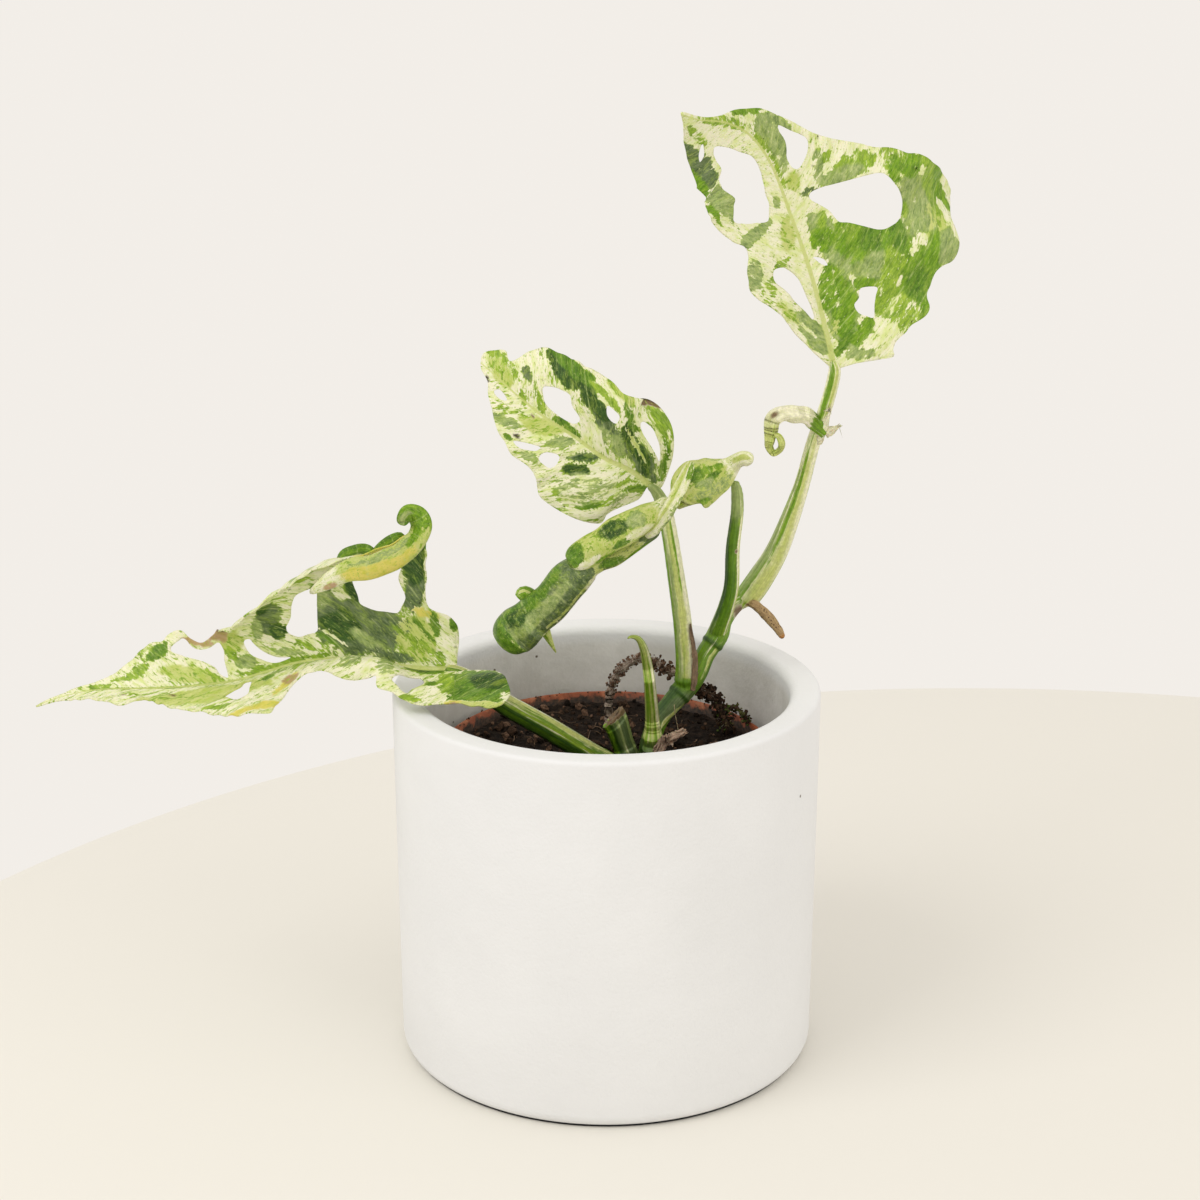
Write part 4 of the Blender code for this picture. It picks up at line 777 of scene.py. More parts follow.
# %% Left leaf
LEFT_LEAF = dict(
    spine=[
        (-48, -10, 134), (-60, -10, 134), (-75, -10, 136), (-88, -10, 137), (-99, -10, 136), (-110, -11, 133),
        (-122, -12, 130), (-142, -12, 128), (-164, -11, 127), (-177, -10, 124), (-185, -10, 121),
    ],
    facing=[
        (0, 0, 1), (0, 0, 1), (0, 0, 1), (0, 0, 1), (0, 0, 1), (0, 0, 1), (0, 0, 1), (0, 0, 1), (0, 0, 1),
        (0, 0, 1), (0, 0, 1),
    ],
    left=[
        (-10, -15, -20, -25), (-10, -15, -20, -25), (70, -60, -50, -50), (30, -20, -30, -30),
        (5, -15, -15, -15), (0, -5, -10, -15), (0, -5, -10, -15), (0, -5, -10, -15), (-5, -10, -15, -20),
        (-10, -10, -20, -20), (-10, -10, -20, -20),
    ],
    right=[
        (75, 90, 95, 100, 110, 120), (75, 88, 90, 92, 95, 120), (75, 88, 90, 95, 180, 235),
        (75, 88, 90, 160, 230, 235), (70, 88, 110, 200, 230, 230), (65, 85, 170, 205, 205, 205),
        (60, 80, 180, 200, 200, 200), (50, 55, 60, 60, 60, 60), (40, 45, 50, 50, 50, 50),
        (30, 30, 30, 30, 30, 30), (30, 30, 30, 30, 30, 30),
    ],
    outline=[
        (0.3, 0.5), (0, 5), (-0.5, 9.5), (0, 14.5), (2.5, 18), (6, 19.3), (10, 20.8), (11.5, 25), (12.3, 32),
        (13.5, 37), (14.2, 40.5), (15.5, 43), (18, 44.5), (22, 45), (27, 44.6), (31, 43.8), (35, 42.8),
        (40, 41.5), (45, 38), (50, 35), (55, 31), (60, 28), (65, 25.5), (70, 24), (74, 22), (77, 17.5),
        (80, 15), (83, 14), (87, 16), (89.3, 18.5), (92, 19), (94.5, 17.8), (96.5, 16), (101, 15.5),
        (104.5, 13), (110.7, 7.5), (117.2, 3.5), (125.5, 2.2), (131, 1.2), (136, 0.8), (139.2, 0),
        (136, -0.8), (130.5, -2), (122, -6), (115, -8.5), (109.3, -12), (106, -12.7), (100, -10), (95, -14),
        (87.5, -18.6), (81.7, -20.6), (75.5, -24), (69, -29), (62, -30), (60, -26), (57.3, -21.5),
        (54.3, -16.7), (50.7, -13.3), (46.5, -12), (40, -14), (34.8, -16.5), (28.3, -15), (25.5, -13.5),
        (24.5, -17), (19.3, -16.8), (16, -18.5), (10.8, -20), (4.7, -20.2), (-1.5, -20.8), (-8, -21.5),
        (-12, -21.8), (-15.5, -20), (-17.3, -15.8), (-16.5, -9.3), (-13.5, -3), (-8, -0.8), (-3, -1),
        (0.3, -0.5),
    ],
    holes=[
        [
            (22.8, 36.5), (22.6, 32.5), (22.8, 28.5), (21.2, 25.3), (20, 22.8), (20.8, 19.5), (22, 17.3),
            (25.6, 17.3), (30.2, 17.8), (33, 19), (33.8, 21.5), (35, 25), (36, 29), (35.5, 32), (33, 35.5),
            (30, 38), (28, 38.5), (25.5, 38),
        ],
        [
            (47, 23.5), (44, 24), (44, 19), (44.3, 13.3), (44.7, 9.5), (47, 8.8), (50, 8.3), (52.3, 10),
            (52.7, 12), (51, 15.5), (50, 20), (49, 22.5),
        ],
        [
            (66.3, 11.5), (64.3, 12), (63.3, 9.6), (61.3, 6.8), (57.3, 3.6), (53.5, 2.4), (56, 1.9),
            (59.2, 2.2), (63, 4.6), (65.5, 7.3),
        ],
        [
            (93.8, 12.5), (93, 14.2), (90, 16.2), (88, 15.4), (86.3, 13.2), (83.5, 11.8), (79.8, 12),
            (76.3, 13.5), (75, 11), (75.2, 7.6), (75, 4.3), (75, 1.5), (77.7, 3.3), (79, 5.5), (83.3, 8),
            (88.8, 10),
        ],
        [
            (75.2, -12.3), (73.2, -10), (70.8, -8.5), (69.3, -5.3), (67, -5.5), (67.6, -10.5), (68.2, -15.5),
            (70.6, -17), (74, -14.8),
        ],
        [
            (20.3, -12.4), (18.5, -9.5), (14.5, -7), (12, -6.8), (10.3, -8.3), (11.2, -10.8), (13.7, -13.3),
            (15, -15.5), (18, -14),
        ],
    ],
    ground=0.30,
    strokes=[
        # the wall: far half where it stands up
        ("slate", 31, 11, 13, 10, 0, 0.97), ("slate", 43, 17, 4.5, 9), ("dark", 38, 11, 6, 5, 20),
        ("dark", 35, 25, 2.6, 6, -10), ("sage", 28, 6, 9, 2, 32, 0.92), ("sage", 43, 21, 2.5, 4, 10, 0.85),
        ("cream", 40, 7.6, 5.5, 0.5, 35, 0), ("deep", 41, 6.6, 4.6, 0.8, 35, 1),
        ("slate", 17, 25, 4.5, 7, 0, 0.97), ("dark", 18, 34, 4.5, 6.5, -4), ("lime", 14, 10, 8, 8, 35, 0.46),
        ("bright", 17, 9, 8, 0.9, 35, 0.75), ("deep", 12, 13, 6, 0.9, 38, 0.8),
        ("bright", 9, 6, 6, 1, 35, 0.75), ("cream", 3, 9, 3.2, 9), ("butter", 11, 18.5, 6, 1.6, 8, 0.1),
        ("deep", 0.8, 15, 1.2, 2.4, 0, 0.9), ("deep", 7, 15, 2, 4, -10, 0.85),
        ("bright", 5.5, 3, 2, 3, 0, 0.7), ("slate", 22, 3, 8, 1.8, 4, 0.8),
        # what rolls over at the top
        ("butter", 26, 46, 10, 5, -18, 0.06), ("butter", 37, 38, 6, 2.2, -30, 0.1),
        ("cream", 42, 39, 7, 4, -30, 0.22), ("sage", 45, 34, 6, 2, -30, 0.7), ("cream", 54, 30, 6, 3.5, -20),
        ("bright", 48, 30, 3, 1, 20, 0.7), ("deep", 14.5, 47, 3, 7, 0, 0.95),
        # further out
        ("slate", 56.5, 17, 3.8, 7, 5, 1), ("dark", 55, 12, 2.6, 3.2), ("dark", 57, 22, 2, 2),
        ("bright", 61, 27, 2, 1.4, 0, 0.85), ("sage", 61, 14, 2, 5, 10, 0.7),
        ("sage", 68, 5.5, 3.4, 2.4, 20, 0.85), ("lime", 71, 13, 5, 5, 20, 0.42),
        ("bright", 72, 9, 3, 2, 40, 0.7), ("sage", 54, 4.4, 5, 1.2, 20, 0.7),
        ("bright", 47, 4.4, 5, 1, 25, 0.7), ("bright", 58, 1.4, 14, 1.1, 0, 0.75),
        ("deep", 95, -0.2, 26, 0.55, 0, 1), ("pink", 75.5, 17.5, 4.6, 3.6, 10), ("tan", 73, 20.5, 2.4, 1.4),
        ("pink", 84, 14.6, 7, 1.3, 12), ("cream", 92, 17.6, 4, 1.2, 0, 0.05),
        ("deep", 98, 12.4, 4.2, 2.4, -30, 1), ("bright", 105, 6.2, 4, 1.8, -25, 0.8),
        ("bright", 110, 3.6, 5, 1, -10, 0.8), ("bright", 117, 1.4, 5, 0.8, 0, 0.7),
        ("lime", 88, 4, 9, 3, 15, 0.38), ("bright", 80, 3, 5, 0.8, 30, 0.7),
        # near half
        ("deep", 62, -6.5, 3.4, 2, -20, 1), ("sage", 58, -4, 2.6, 1.6, 0, 0.8),
        ("bright", 50, -3, 9, 2, 5, 0.6), ("slate", 26, -5, 6, 1.8, -5, 0.75),
        ("lime", 80, -10, 22, 6, -3, 0.34), ("bright", 76, -19.6, 5, 0.6, 0, 0.8),
        ("bright", 92, -10.6, 7, 0.6, 0, 0.75), ("bright", 103, -5.5, 9, 0.6, -5, 0.7),
        ("tan", 92, -7.6, 1, 0.8), ("tan", 108, -6.6, 0.9, 0.6), ("butter", 66, -26, 9, 2, -8, 0.1),
        ("butter", 56, -14, 7, 1.6, -50, 0.15), ("pink", 54, -11.5, 3.5, 2, -20, 0.1),
        ("sage", 34, -8, 3, 4, 20, 0.7), ("cream", 29, -9, 1.6, 7, 0, 0.15),
        ("sage", 23, -9, 2.5, 4, 0, 0.65), ("deep", -7, -11, 11, 10.5, 0, 1), ("dark", -10, -8, 6, 5),
        ("deep", 8, -1.8, 6, 1.6, -8, 0.95), ("dark", 13, -2, 4, 1.2, -8), ("deep", 8, -9, 1.8, 1.6, 0, 0.95),
        ("bright", 4, -8, 3, 5, 0, 0.7), ("bright", 14, -17.6, 3, 1.2, 0, 0.8),
        ("lime", -8, -20.6, 8, 1.5, -3, 0.2), ("butter", 0.5, -20.2, 2.6, 1), ("pink", 1, -20.6, 1.2, 0.5),
    ],
)
make_leaf("left_leaf", LEFT_LEAF, 0.8, 17.3, ["leaf_left"], dents=0.8, lean=0.9)

# %% [markdown]
# ## Stems and stalks
# A stem is a round rod whose radius changes along a smooth line. It is drawn as a disc that is
# extruded from ring to ring. Where a stalk leaves the climbing stem the two grow together, so
# the four rods of the climbing stem are remeshed into one skin and smoothed. After that each
# point of the skin is measured again against the middle lines: how far along, and round which
# side. The long streaks, the ridges and the rings at the nodes all follow from these two.


# %% Rods along a line
def frames_along(points, spacing, close=False):
    """Rows of (run, centre, side, front, along, radius) every spacing millimetres."""
    points = np.array(points, float)
    run = np.concatenate([[0], np.cumsum(np.linalg.norm(np.diff(points[:, :3], axis=0), axis=1))])
    count = max(6, round(run[-1] / spacing))
    t = np.linspace(0, len(points) - 1, count)
    if close:
        t = np.concatenate([t[:-1], len(points) - 1 - np.array([0.45, 0.3, 0.18, 0.08, 0.0]) * t[1]])
    rows = catmull(points, t)
    centre = rows[:, :3]
    along = unit(np.gradient(centre, axis=0))
    front = np.array([(0.0, -1.0, 0.0)]) - along * (along @ np.array([0.0, -1.0, 0.0]))[:, None]
    front = unit(front)
    return np.interp(t, np.arange(len(points)), run), centre, np.cross(along, front), front, along, rows[:, 3]


def ring_place(rows, i, size=1.0):
    """The matrix that lays a unit circle down as ring i, in metres."""
    _, centre, side, front, along, radius = rows
    place = Matrix.Identity(4)
    for axis, direction in enumerate((side[i] * radius[i] * size, front[i] * radius[i] * size, along[i])):
        for k in range(3):
            place[k][axis] = direction[k] * MM
    for k in range(3):
        place[k][3] = centre[i][k] * MM
    return place


def rod(bm, points, sides=24, spacing=1.0, shape=None, rounded=0.0, tip_share=0.15):
    """Extrude a disc from ring to ring; shape(angle, run) scales its radius.

    rounded is the length over which the end closes softly, down to tip_share of the radius.
    """
    grain = bm.verts.layers.float_vector.get("grain") or bm.verts.layers.float_vector.new("grain")
    rows = frames_along(points, spacing, rounded > 0)
    run = rows[0]
    ring = bmesh.ops.create_circle(bm, cap_ends=True, segments=sides, radius=1.0)["verts"]
    face = ring[0].link_faces[0]
    last = Matrix.Identity(4)
    made = []
    for i in range(len(run)):
        size = 1.0
        if rounded > 0:
            left = np.clip((run[-1] - run[i]) / rounded, 0, 1)
            size = max(tip_share, math.sqrt(1 - (1 - left) ** 2))
        place = ring_place(rows, i, size)
        if i:
            grown = bmesh.ops.extrude_face_region(bm, geom=[face])["geom"]
            ring = [item for item in grown if isinstance(item, bmesh.types.BMVert)]
            face = [item for item in grown if isinstance(item, bmesh.types.BMFace)][0]
        bmesh.ops.transform(bm, matrix=place @ last.inverted(), verts=ring)
        last = place
        made.append((ring, i))
    for ring, i in made:
        centre = Vector(rows[1][i] * MM)
        side, front = Vector(rows[2][i]), Vector(rows[3][i])
        for vert in ring:
            away = vert.co - centre
            angle = math.atan2(away.dot(side), away.dot(front))
            if shape:
                vert.co = centre + away * shape(angle, run[i])
            vert[grain] = (math.cos(angle), math.sin(angle), run[i] * 0.1)
    bmesh.ops.recalc_face_normals(bm, faces=bm.faces)
    return made


# %% Stem finish
def stem_finish(name, seed, shine=0.36):
    """Green and pale streaks that run along the stem, over a fine grain and small scars."""
    tree, shader, finish = new_finish(name)
    grain = attribute(tree, "grain")
    green = add(tree, "Attribute", attribute_name="green_tone")
    pale = attribute(tree, "pale_tone", "Color")
    long_way = vector_node(tree, "MULTIPLY", grain, (1.0, 1.0, 0.16))
    long_way = vector_node(tree, "ADD", long_way, (seed, 0, seed))
    wide = speckle(tree, long_way, 2.4, 3, 0.6, 0.2)
    thin = speckle(tree, long_way, 8.5, 4, 0.65, 0.1)
    spots = speckle(tree, object_place(tree), 900, 3, 0.6)
    share = green.outputs["Alpha"]
    wobble = math_node(tree, "MULTIPLY_ADD", math_node(tree, "SUBTRACT", wide, 0.5), 1.5, share)
    wobble = math_node(tree, "MULTIPLY_ADD", math_node(tree, "SUBTRACT", thin, 0.5), 1.1, wobble)
    mask = edge(tree, wobble, 0.36, 0.64)
    streaks = ramp(tree, thin, [(0.36, (0.66, 0.70, 0.62)), (0.64, (1.36, 1.26, 1.4))])
    greens = tinted(tree, green.outputs["Color"], streaks)
    yellowing = ramp(tree, thin, [(0.4, (0.86, 0.90, 0.72)), (0.62, (1.08, 1.05, 1.1))])
    pales = tinted(tree, pale, yellowing)
    colour = blend_colour(tree, mask, pales, greens)
    colour = tinted(tree, colour, greys(tree, spots, 0.35, 0.86, 0.65, 1.12))
    scars = add(tree, "TexVoronoi", {"Vector": long_way, "Scale": 2.6})
    few = math_node(tree, "GREATER_THAN", channel(tree, scars.outputs["Color"], 1), 0.86)
    scar = times(tree, few, edge(tree, scars.outputs["Distance"], 0.12, 0.05))
    colour = blend_colour(tree, times(tree, scar, 0.75), colour, (0.13, 0.075, 0.03))
    fill(tree, shader, {
        "Base Color": colour, "Roughness": greys(tree, thin, 0.3, shine - 0.05, 0.7, shine + 0.1),
        "Specular IOR Level": 0.3, "Subsurface Weight": 0.08, "Subsurface Radius": (0.7, 1.0, 0.3),
        "Subsurface Scale": 0.0015, "Normal": relief(tree, thin, 0.16, 0.6, relief(tree, spots, 0.05, 0.6)),
    })
    return finish


# %% Painting a stem
def paint(mesh, green, pale):
    """Write the two tone attributes, as rows of (r, g, b, a)."""
    for name, values in (("green_tone", green), ("pale_tone", pale)):
        layer = mesh.attributes.get(name) or mesh.attributes.new(name, "FLOAT_COLOR", "POINT")
        layer.data.foreach_set("color", values.astype(np.float32).ravel())


def stem_tones(run, angle, ground, strokes, seed):
    """Strokes lie on (millimetres along, degrees round from the front to the right / 15)."""
    green, pale, share = brush(run, np.degrees(angle) / 15.0, ground, strokes, seed, 1.0)
    return np.column_stack([green, share]), np.column_stack([pale, share])


def tone_rows(mesh, run, angle, ground, strokes, seed):
    paint(mesh, *stem_tones(run, angle, ground, strokes, seed))


def grain_of(mesh):
    """How far along the stem and how far round it each point lies."""
    values = np.zeros(len(mesh.vertices) * 3, np.float32)
    mesh.attributes["grain"].data.foreach_get("vector", values)
    values = values.reshape(-1, 3)
    return values[:, 2] * 10, np.arctan2(values[:, 1], values[:, 0])


# %% Middle lines of the stems, as (x, y, z, radius)
VINE = [
    (13, 3, 82, 3.4), (14, 4, 100, 3.4), (17, 8, 109, 3.3), (21, 10, 114, 3.4), (26, 13, 119, 4),
    (30, 14, 124, 3.6), (33, 16, 130, 3.3), (37, 18, 136, 3.7), (39, 20, 141, 3.2), (43, 22, 146, 3.2),
    (47, 23, 148, 3.4),
]
TOP_STALK = [
    (46.5, 23, 147, 4.2), (50.5, 22.8, 153, 4.3), (56, 22, 163, 3.8), (60, 21, 174, 3.2), (64, 19, 188, 2.5),
    (67, 17, 202, 2.3), (70, 16, 212, 2.2), (72, 15, 220, 2.1), (73, 14, 226.5, 2), (72.3, 14.5, 230, 1.3),
]
MIDDLE_STALK = [
    (26, 12, 121, 3.2), (26, 12, 130, 3), (25, 12, 143, 3), (23, 13, 157, 2.8), (21, 14, 170, 2.6),
    (19, 15, 180, 2.4), (16.5, 14.3, 186, 1.9), (13.6, 13.6, 189.2, 1.2),
]
ROLLED_STALK = [
    (37, 17, 138, 3), (39.5, 14, 147, 2.7), (41, 11, 156, 2.5), (41, 8, 169, 2.3), (42, 4, 182, 2.1),
    (41.8, 2.8, 189, 1.9), (40.9, 2, 193.5, 1.2),
]
LEFT_STALK = [
    (9, -9, 84, 3.8), (3, -9, 98, 4), (-6, -9, 104.5, 3.9), (-19, -9, 113, 3.8), (-33, -9, 121.5, 3.6),
    (-46, -10, 131.2, 2.9), (-52, -10, 134, 1.8),
]
YOUNG_SHOOT = [
    (15, -3, 86, 2.8), (15, -2.6, 99, 3), (15.2, -2.6, 105, 3.2), (15.2, -2.6, 107.3, 3.25),
    (15.2, -2.6, 110, 2.75), (15, -2.6, 114, 2.3), (14.6, -2.6, 120, 2.05), (14, -2.6, 127, 1.85),
    (13, -2.6, 134, 1.6), (11.8, -2.9, 139, 1.3), (10.2, -3.3, 141.9, 0.95), (8, -4, 142.8, 0.55),
    (6.7, -4.4, 142.3, 0.25),
]
CUT_STUB = [(8.5, -2, 88, 3.2), (8, -1.5, 97, 3.3), (5, -1, 106, 3.3), (2, -1, 114, 3.1)]

# %% [markdown]
# ## Climbing stem
# The vine is deep green with a raised ring at each node. The stalk of the middle leaf is striped
# yellow-green with a dry brown edge, the one of the rolled leaf is dark, and the top one is pale.

# %% Climbing stem: one skin
fused = [VINE, TOP_STALK, MIDDLE_STALK, ROLLED_STALK]
bm = bmesh.new()
for points in fused:
    rod(bm, points, 24, 1.0, None, 1.0)
mesh = bpy.data.meshes.new("rods")
bm.to_mesh(mesh)
bm.free()
rods = bpy.data.objects.new("rods", mesh)
scene.collection.objects.link(rods)
skin = rods.modifiers.new("skin", "REMESH")
skin.mode = "VOXEL"
skin.voxel_size = 0.42 * MM
soften = rods.modifiers.new("soften", "SMOOTH")
soften.factor = 0.5
soften.iterations = 8
bm = bmesh.new()
bm.from_object(rods, bpy.context.evaluated_depsgraph_get())
bpy.data.objects.remove(rods)
print("skin faces:", len(bm.faces))

# %% Climbing stem: streaks, ridges and rings
lines = [frames_along(points, 0.4) for points in fused]
nearest = kdtree.KDTree(sum(len(rows[0]) for rows in lines))
owners = [(k, i) for k, rows in enumerate(lines) for i in range(len(rows[0]))]
for n, (k, i) in enumerate(owners):
    nearest.insert(lines[k][1][i], n)
nearest.balance()
grain = bm.verts.layers.float_vector.new("grain")
owner, run, angle = [], [], []
NODE_RINGS = {0: (60.5, 40.0), 2: (1.5,)}  # millimetres along, on the vine and on the middle stalk
RIDGES = [(0.05, 9), (0.10, 11), (0.12, 12), (0.10, 10)]  # height in millimetres and number, of each rod
bm.normal_update()
for vert in bm.verts:
    near = [
        ((vert.co / MM - Vector(lines[k][1][i])).length / (lines[k][5][i] + 0.3), k, i)
        for _, n, _ in nearest.find_n(vert.co / MM, 24) for k, i in [owners[n]]
    ]
    _, k, i = min(near)
    rows = lines[k]
    away = vert.co / MM - Vector(rows[1][i])
    a = math.atan2(away.dot(Vector(rows[2][i])), away.dot(Vector(rows[3][i])))
    s = rows[0][i] + away.dot(Vector(rows[4][i]))
    ribs = RIDGES[k][0] * math.cos(RIDGES[k][1] * a + 0.03 * s)
    for place in NODE_RINGS.get(k, ()):
        ribs += 0.28 * math.exp(-((s - place) / 0.8) ** 2) - 0.14 * math.exp(-((s - place + 1.4) / 0.6) ** 2)
    vert.co += vert.normal * ribs * MM
    vert[grain] = (math.cos(a) + 3 * k, math.sin(a), s * 0.1)
    owner.append(k)
    run.append(s)
    angle.append(a)
climbing_stem = finished("climbing_stem_skin", bm, stem_finish("stem_green", 1.7), ["climbing_stem"])

# %% Climbing stem: colours of its four rods, as (ground, strokes)
STEM_PAINT = [
    (0.80, [
        ("deep", 40, 0, 40, 7, 0, 0.95), ("dark", 28, -3, 14, 3), ("slate", 36, 1, 8, 2.4, 10),
        ("lime", 32, 2.6, 8, 1, 8, 0.3), ("grass", 52, -1, 9, 3, 0, 0.85), ("lime", 56, 2.2, 8, 1.1, 0, 0.35),
        ("dark", 60.5, 0, 0.7, 20), ("grass", 72, 1, 9, 5, 0, 0.75), ("tan", 75, 3, 3, 3),
        ("dark", 39.6, 0, 0.7, 20),
    ]),
    (0.36, [
        ("grass", 8, -4, 12, 3, 0, 0.8), ("sage", 26, -4.5, 26, 2.2, 0, 0.75),
        ("grass", 34, -1.5, 34, 0.8, 0, 0.62), ("lime", 8, 1, 12, 3, 0, 0.32),
        ("lime", 40, 1, 30, 2.4, 0, 0.3), ("cream", 52, 3.4, 30, 2.2, 0, 0.1),
        ("grass", 78, -2, 12, 2, 0, 0.8), ("lime", 80, 1.4, 12, 1.4, 0, 0.3),
        ("sage", 30, 6.5, 30, 2, 0, 0.6),
    ]),
    (0.45, [
        ("grass", 30, -4.5, 40, 2.4, 0, 0.9), ("sage", 30, -2.2, 40, 1.4, 0, 0.7),
        ("cream", 30, 3, 40, 1.2, 0, 0.1), ("lime", 30, 0.2, 40, 1.8, 0, 0.34),
        ("grass", 44, 1.4, 14, 0.6, 0, 0.85), ("deep", 0.6, 0, 2, 16, 0, 0.95), ("sage", 66, 0, 8, 6, 0, 0.7),
    ]),
    (0.80, [
        ("deep", 24, -1, 34, 3.6, 0, 0.95), ("dark", 22, -4, 26, 1.8), ("lime", 26, 4.4, 30, 1.5, 0, 0.3),
        ("cream", 26, 3.2, 24, 0.7, 0, 0.15), ("tan", 33, 2, 0.9, 1.1), ("sage", 54, 1, 9, 6, 0, 0.75),
    ]),
]
owner, run, angle = np.array(owner), np.array(run), np.array(angle)
greens, pales = np.zeros((len(run), 4)), np.zeros((len(run), 4))
for k, (ground, strokes) in enumerate(STEM_PAINT):
    on = owner == k
    greens[on], pales[on] = stem_tones(run[on], angle[on], ground, strokes, 2.0 + k)
paint(climbing_stem.data, greens, pales)

# %% [markdown]
# ## Left stalk, young shoot and cut stub
# The left stalk is ridged and dark green with a pale stripe on top. The young shoot is a pale
# spike with a hooked tip that comes out of a dark ring. The stub is an old stalk that was cut.

# %% Left stalk
bm = bmesh.new()
rod(bm, LEFT_STALK, 36, 0.8, lambda a, s: 1 + 0.028 * math.cos(9 * a) + 0.03 * math.cos(2 * a), 1.2)
left_stalk = finished("left_leaf_stalk", bm, stem_finish("stalk_dark", 5.1, 0.32), ["left_stalk"])
tone_rows(left_stalk.data, *grain_of(left_stalk.data), 0.85, [
    ("deep", 45, 0, 60, 12, 0, 0.9), ("dark", 40, -3.5, 60, 2), ("lime", 56, 4.6, 46, 2, 0, 0.25),
    ("bright", 50, 1.6, 50, 1, 0, 0.6), ("dark", 40, 0.2, 60, 0.7), ("cream", 62, 6.4, 40, 0.8, 0, 0.1),
], 31)


# %% Young shoot
def ringed(a, s):
    return 1 + 0.035 * math.cos(7 * a) + (0.06 if 16.2 < s < 17.4 else 0)


bm = bmesh.new()
rod(bm, YOUNG_SHOOT, 32, 0.6, ringed, 0.6)
young_shoot = finished("young_shoot_spike", bm, stem_finish("shoot_pale", 8.3, 0.42), ["young_shoot"])
tone_rows(young_shoot.data, *grain_of(young_shoot.data), 0.42, [
    ("deep", 12, 0, 8.5, 40, 0, 1), ("lime", 40, 0, 26, 40, 0, 0.4), ("grass", 38, -2.4, 30, 0.9, 0, 0.8),
    ("grass", 36, 1.4, 30, 0.6, 0, 0.75), ("sage", 30, 5, 26, 1.5, 0, 0.6),
    ("cream", 42, 3.4, 18, 1.2, 0, 0.12), ("lime", 66, 0, 12, 40, 0, 0.5), ("slate", 9, 0, 9.4, 40, 0, 1),
], 41)


# %% Cut stub
def grooved(a, s):
    return 1.1 + 0.03 * math.cos(8 * a) - 0.12 * math.exp(-((a + 0.5) / 0.22) ** 2)


bm = bmesh.new()
rod(bm, CUT_STUB, 40, 0.7, grooved)
cap = max((f for f in bm.faces if len(f.verts) > 8), key=lambda f: f.calc_center_median().z)
for width, sink in ((0.25, 0.3), (0.5, -0.5), (0.9, -0.5), (0.7, 0.3)):
    bmesh.ops.inset_region(bm, faces=[cap], thickness=width * MM, use_even_offset=False)
    for vert in cap.verts:
        vert.co += Vector((-0.25, 0.0, 0.97)) * (sink + 0.6 * noise.noise(vert.co / MM * 0.9)) * MM
bmesh.ops.poke(bm, faces=[cap])
for vert in bm.verts:  # the knife went through aslant, and the edge tore
    near_cut = smooth((vert.co.z / MM - 106) / 8)
    tear = 0.35 * noise.noise(vert.co / MM * 2.2) if vert.co.z > 0.1128 else 0
    vert.co.z += near_cut * (0.72 * (vert.co.x - 2.2 * MM)) + tear * MM
cut_stub = finished("stub_of_cut_stalk", bm, stem_finish("stub_dark", 9.9, 0.34), ["cut_stub"])
run, angle = grain_of(cut_stub.data)
torn = np.array([v.co.z - 0.72 * (v.co.x - 0.0022) > 0.1131 for v in cut_stub.data.vertices])
tone_rows(cut_stub.data, np.where(torn, 90, run), angle, 0.97, [
    ("slate", 20, 2.5, 60, 4.2, 0, 1), ("grass", 20, -5.5, 60, 3.6, 0, 1), ("sage", 20, 1, 60, 0.5, 0, 0.7),
    ("sage", 20, 4.6, 60, 0.7, 0, 0.6), ("dark", 20, -1.6, 60, 0.7), ("tan", 92, 0, 8, 40),
], 51)

# %% [markdown]
# ## Nursery pot
# Inside the cover pot stands the thin terracotta-coloured pot that the plant was sold in. Only
# its rolled rim shows. It is turned like the cover pot, with more steps than the CAD solid so
# that the rim is round up close, and the drain holes are cut with a Boolean. Its plastic is
# dull and scuffed, and from a little below the top of the rim down it is painted near black:
# partly soil dirt, partly painted shade of the gap between the two pots.

# %% Terracotta plastic
tree, shader, terracotta = new_finish("terracotta_plastic")
place = object_place(tree)
height = part(tree, place, "Z")
scuff = speckle(tree, place, 160, 5, 0.7, 0.4)
colour = ramp(tree, scuff, [
    (0.32, (0.23, 0.055, 0.022)), (0.55, (0.36, 0.10, 0.042)), (0.72, (0.50, 0.21, 0.11)),
])
# From a little below the top of the rim down, the plastic is painted near black: partly soil dirt, partly painted
# shade of the narrow gap between the two pots.
below_rim = math_node(tree, "SUBTRACT", 0.1052, height)
ragged_depth = math_node(tree, "MULTIPLY_ADD", speckle(tree, place, 260, 5, 0.7), 0.011, below_rim)
soil_dirt_and_gap_shade = ramp(tree, speckle(tree, place, 900, 3), [(0.4, (0.02, 0.011, 0.006)), (0.6, (0.075, 0.04, 0.022))])
fill(tree, shader, {
    "Base Color": blend_colour(tree, edge(tree, ragged_depth, 0.0082, 0.0102), colour, soil_dirt_and_gap_shade),
    "Roughness": greys(tree, scuff, 0.3, 0.42, 0.7, 0.68),
    "Specular IOR Level": 0.35,
    "Normal": relief(tree, scuff, 0.15, 0.5),
})

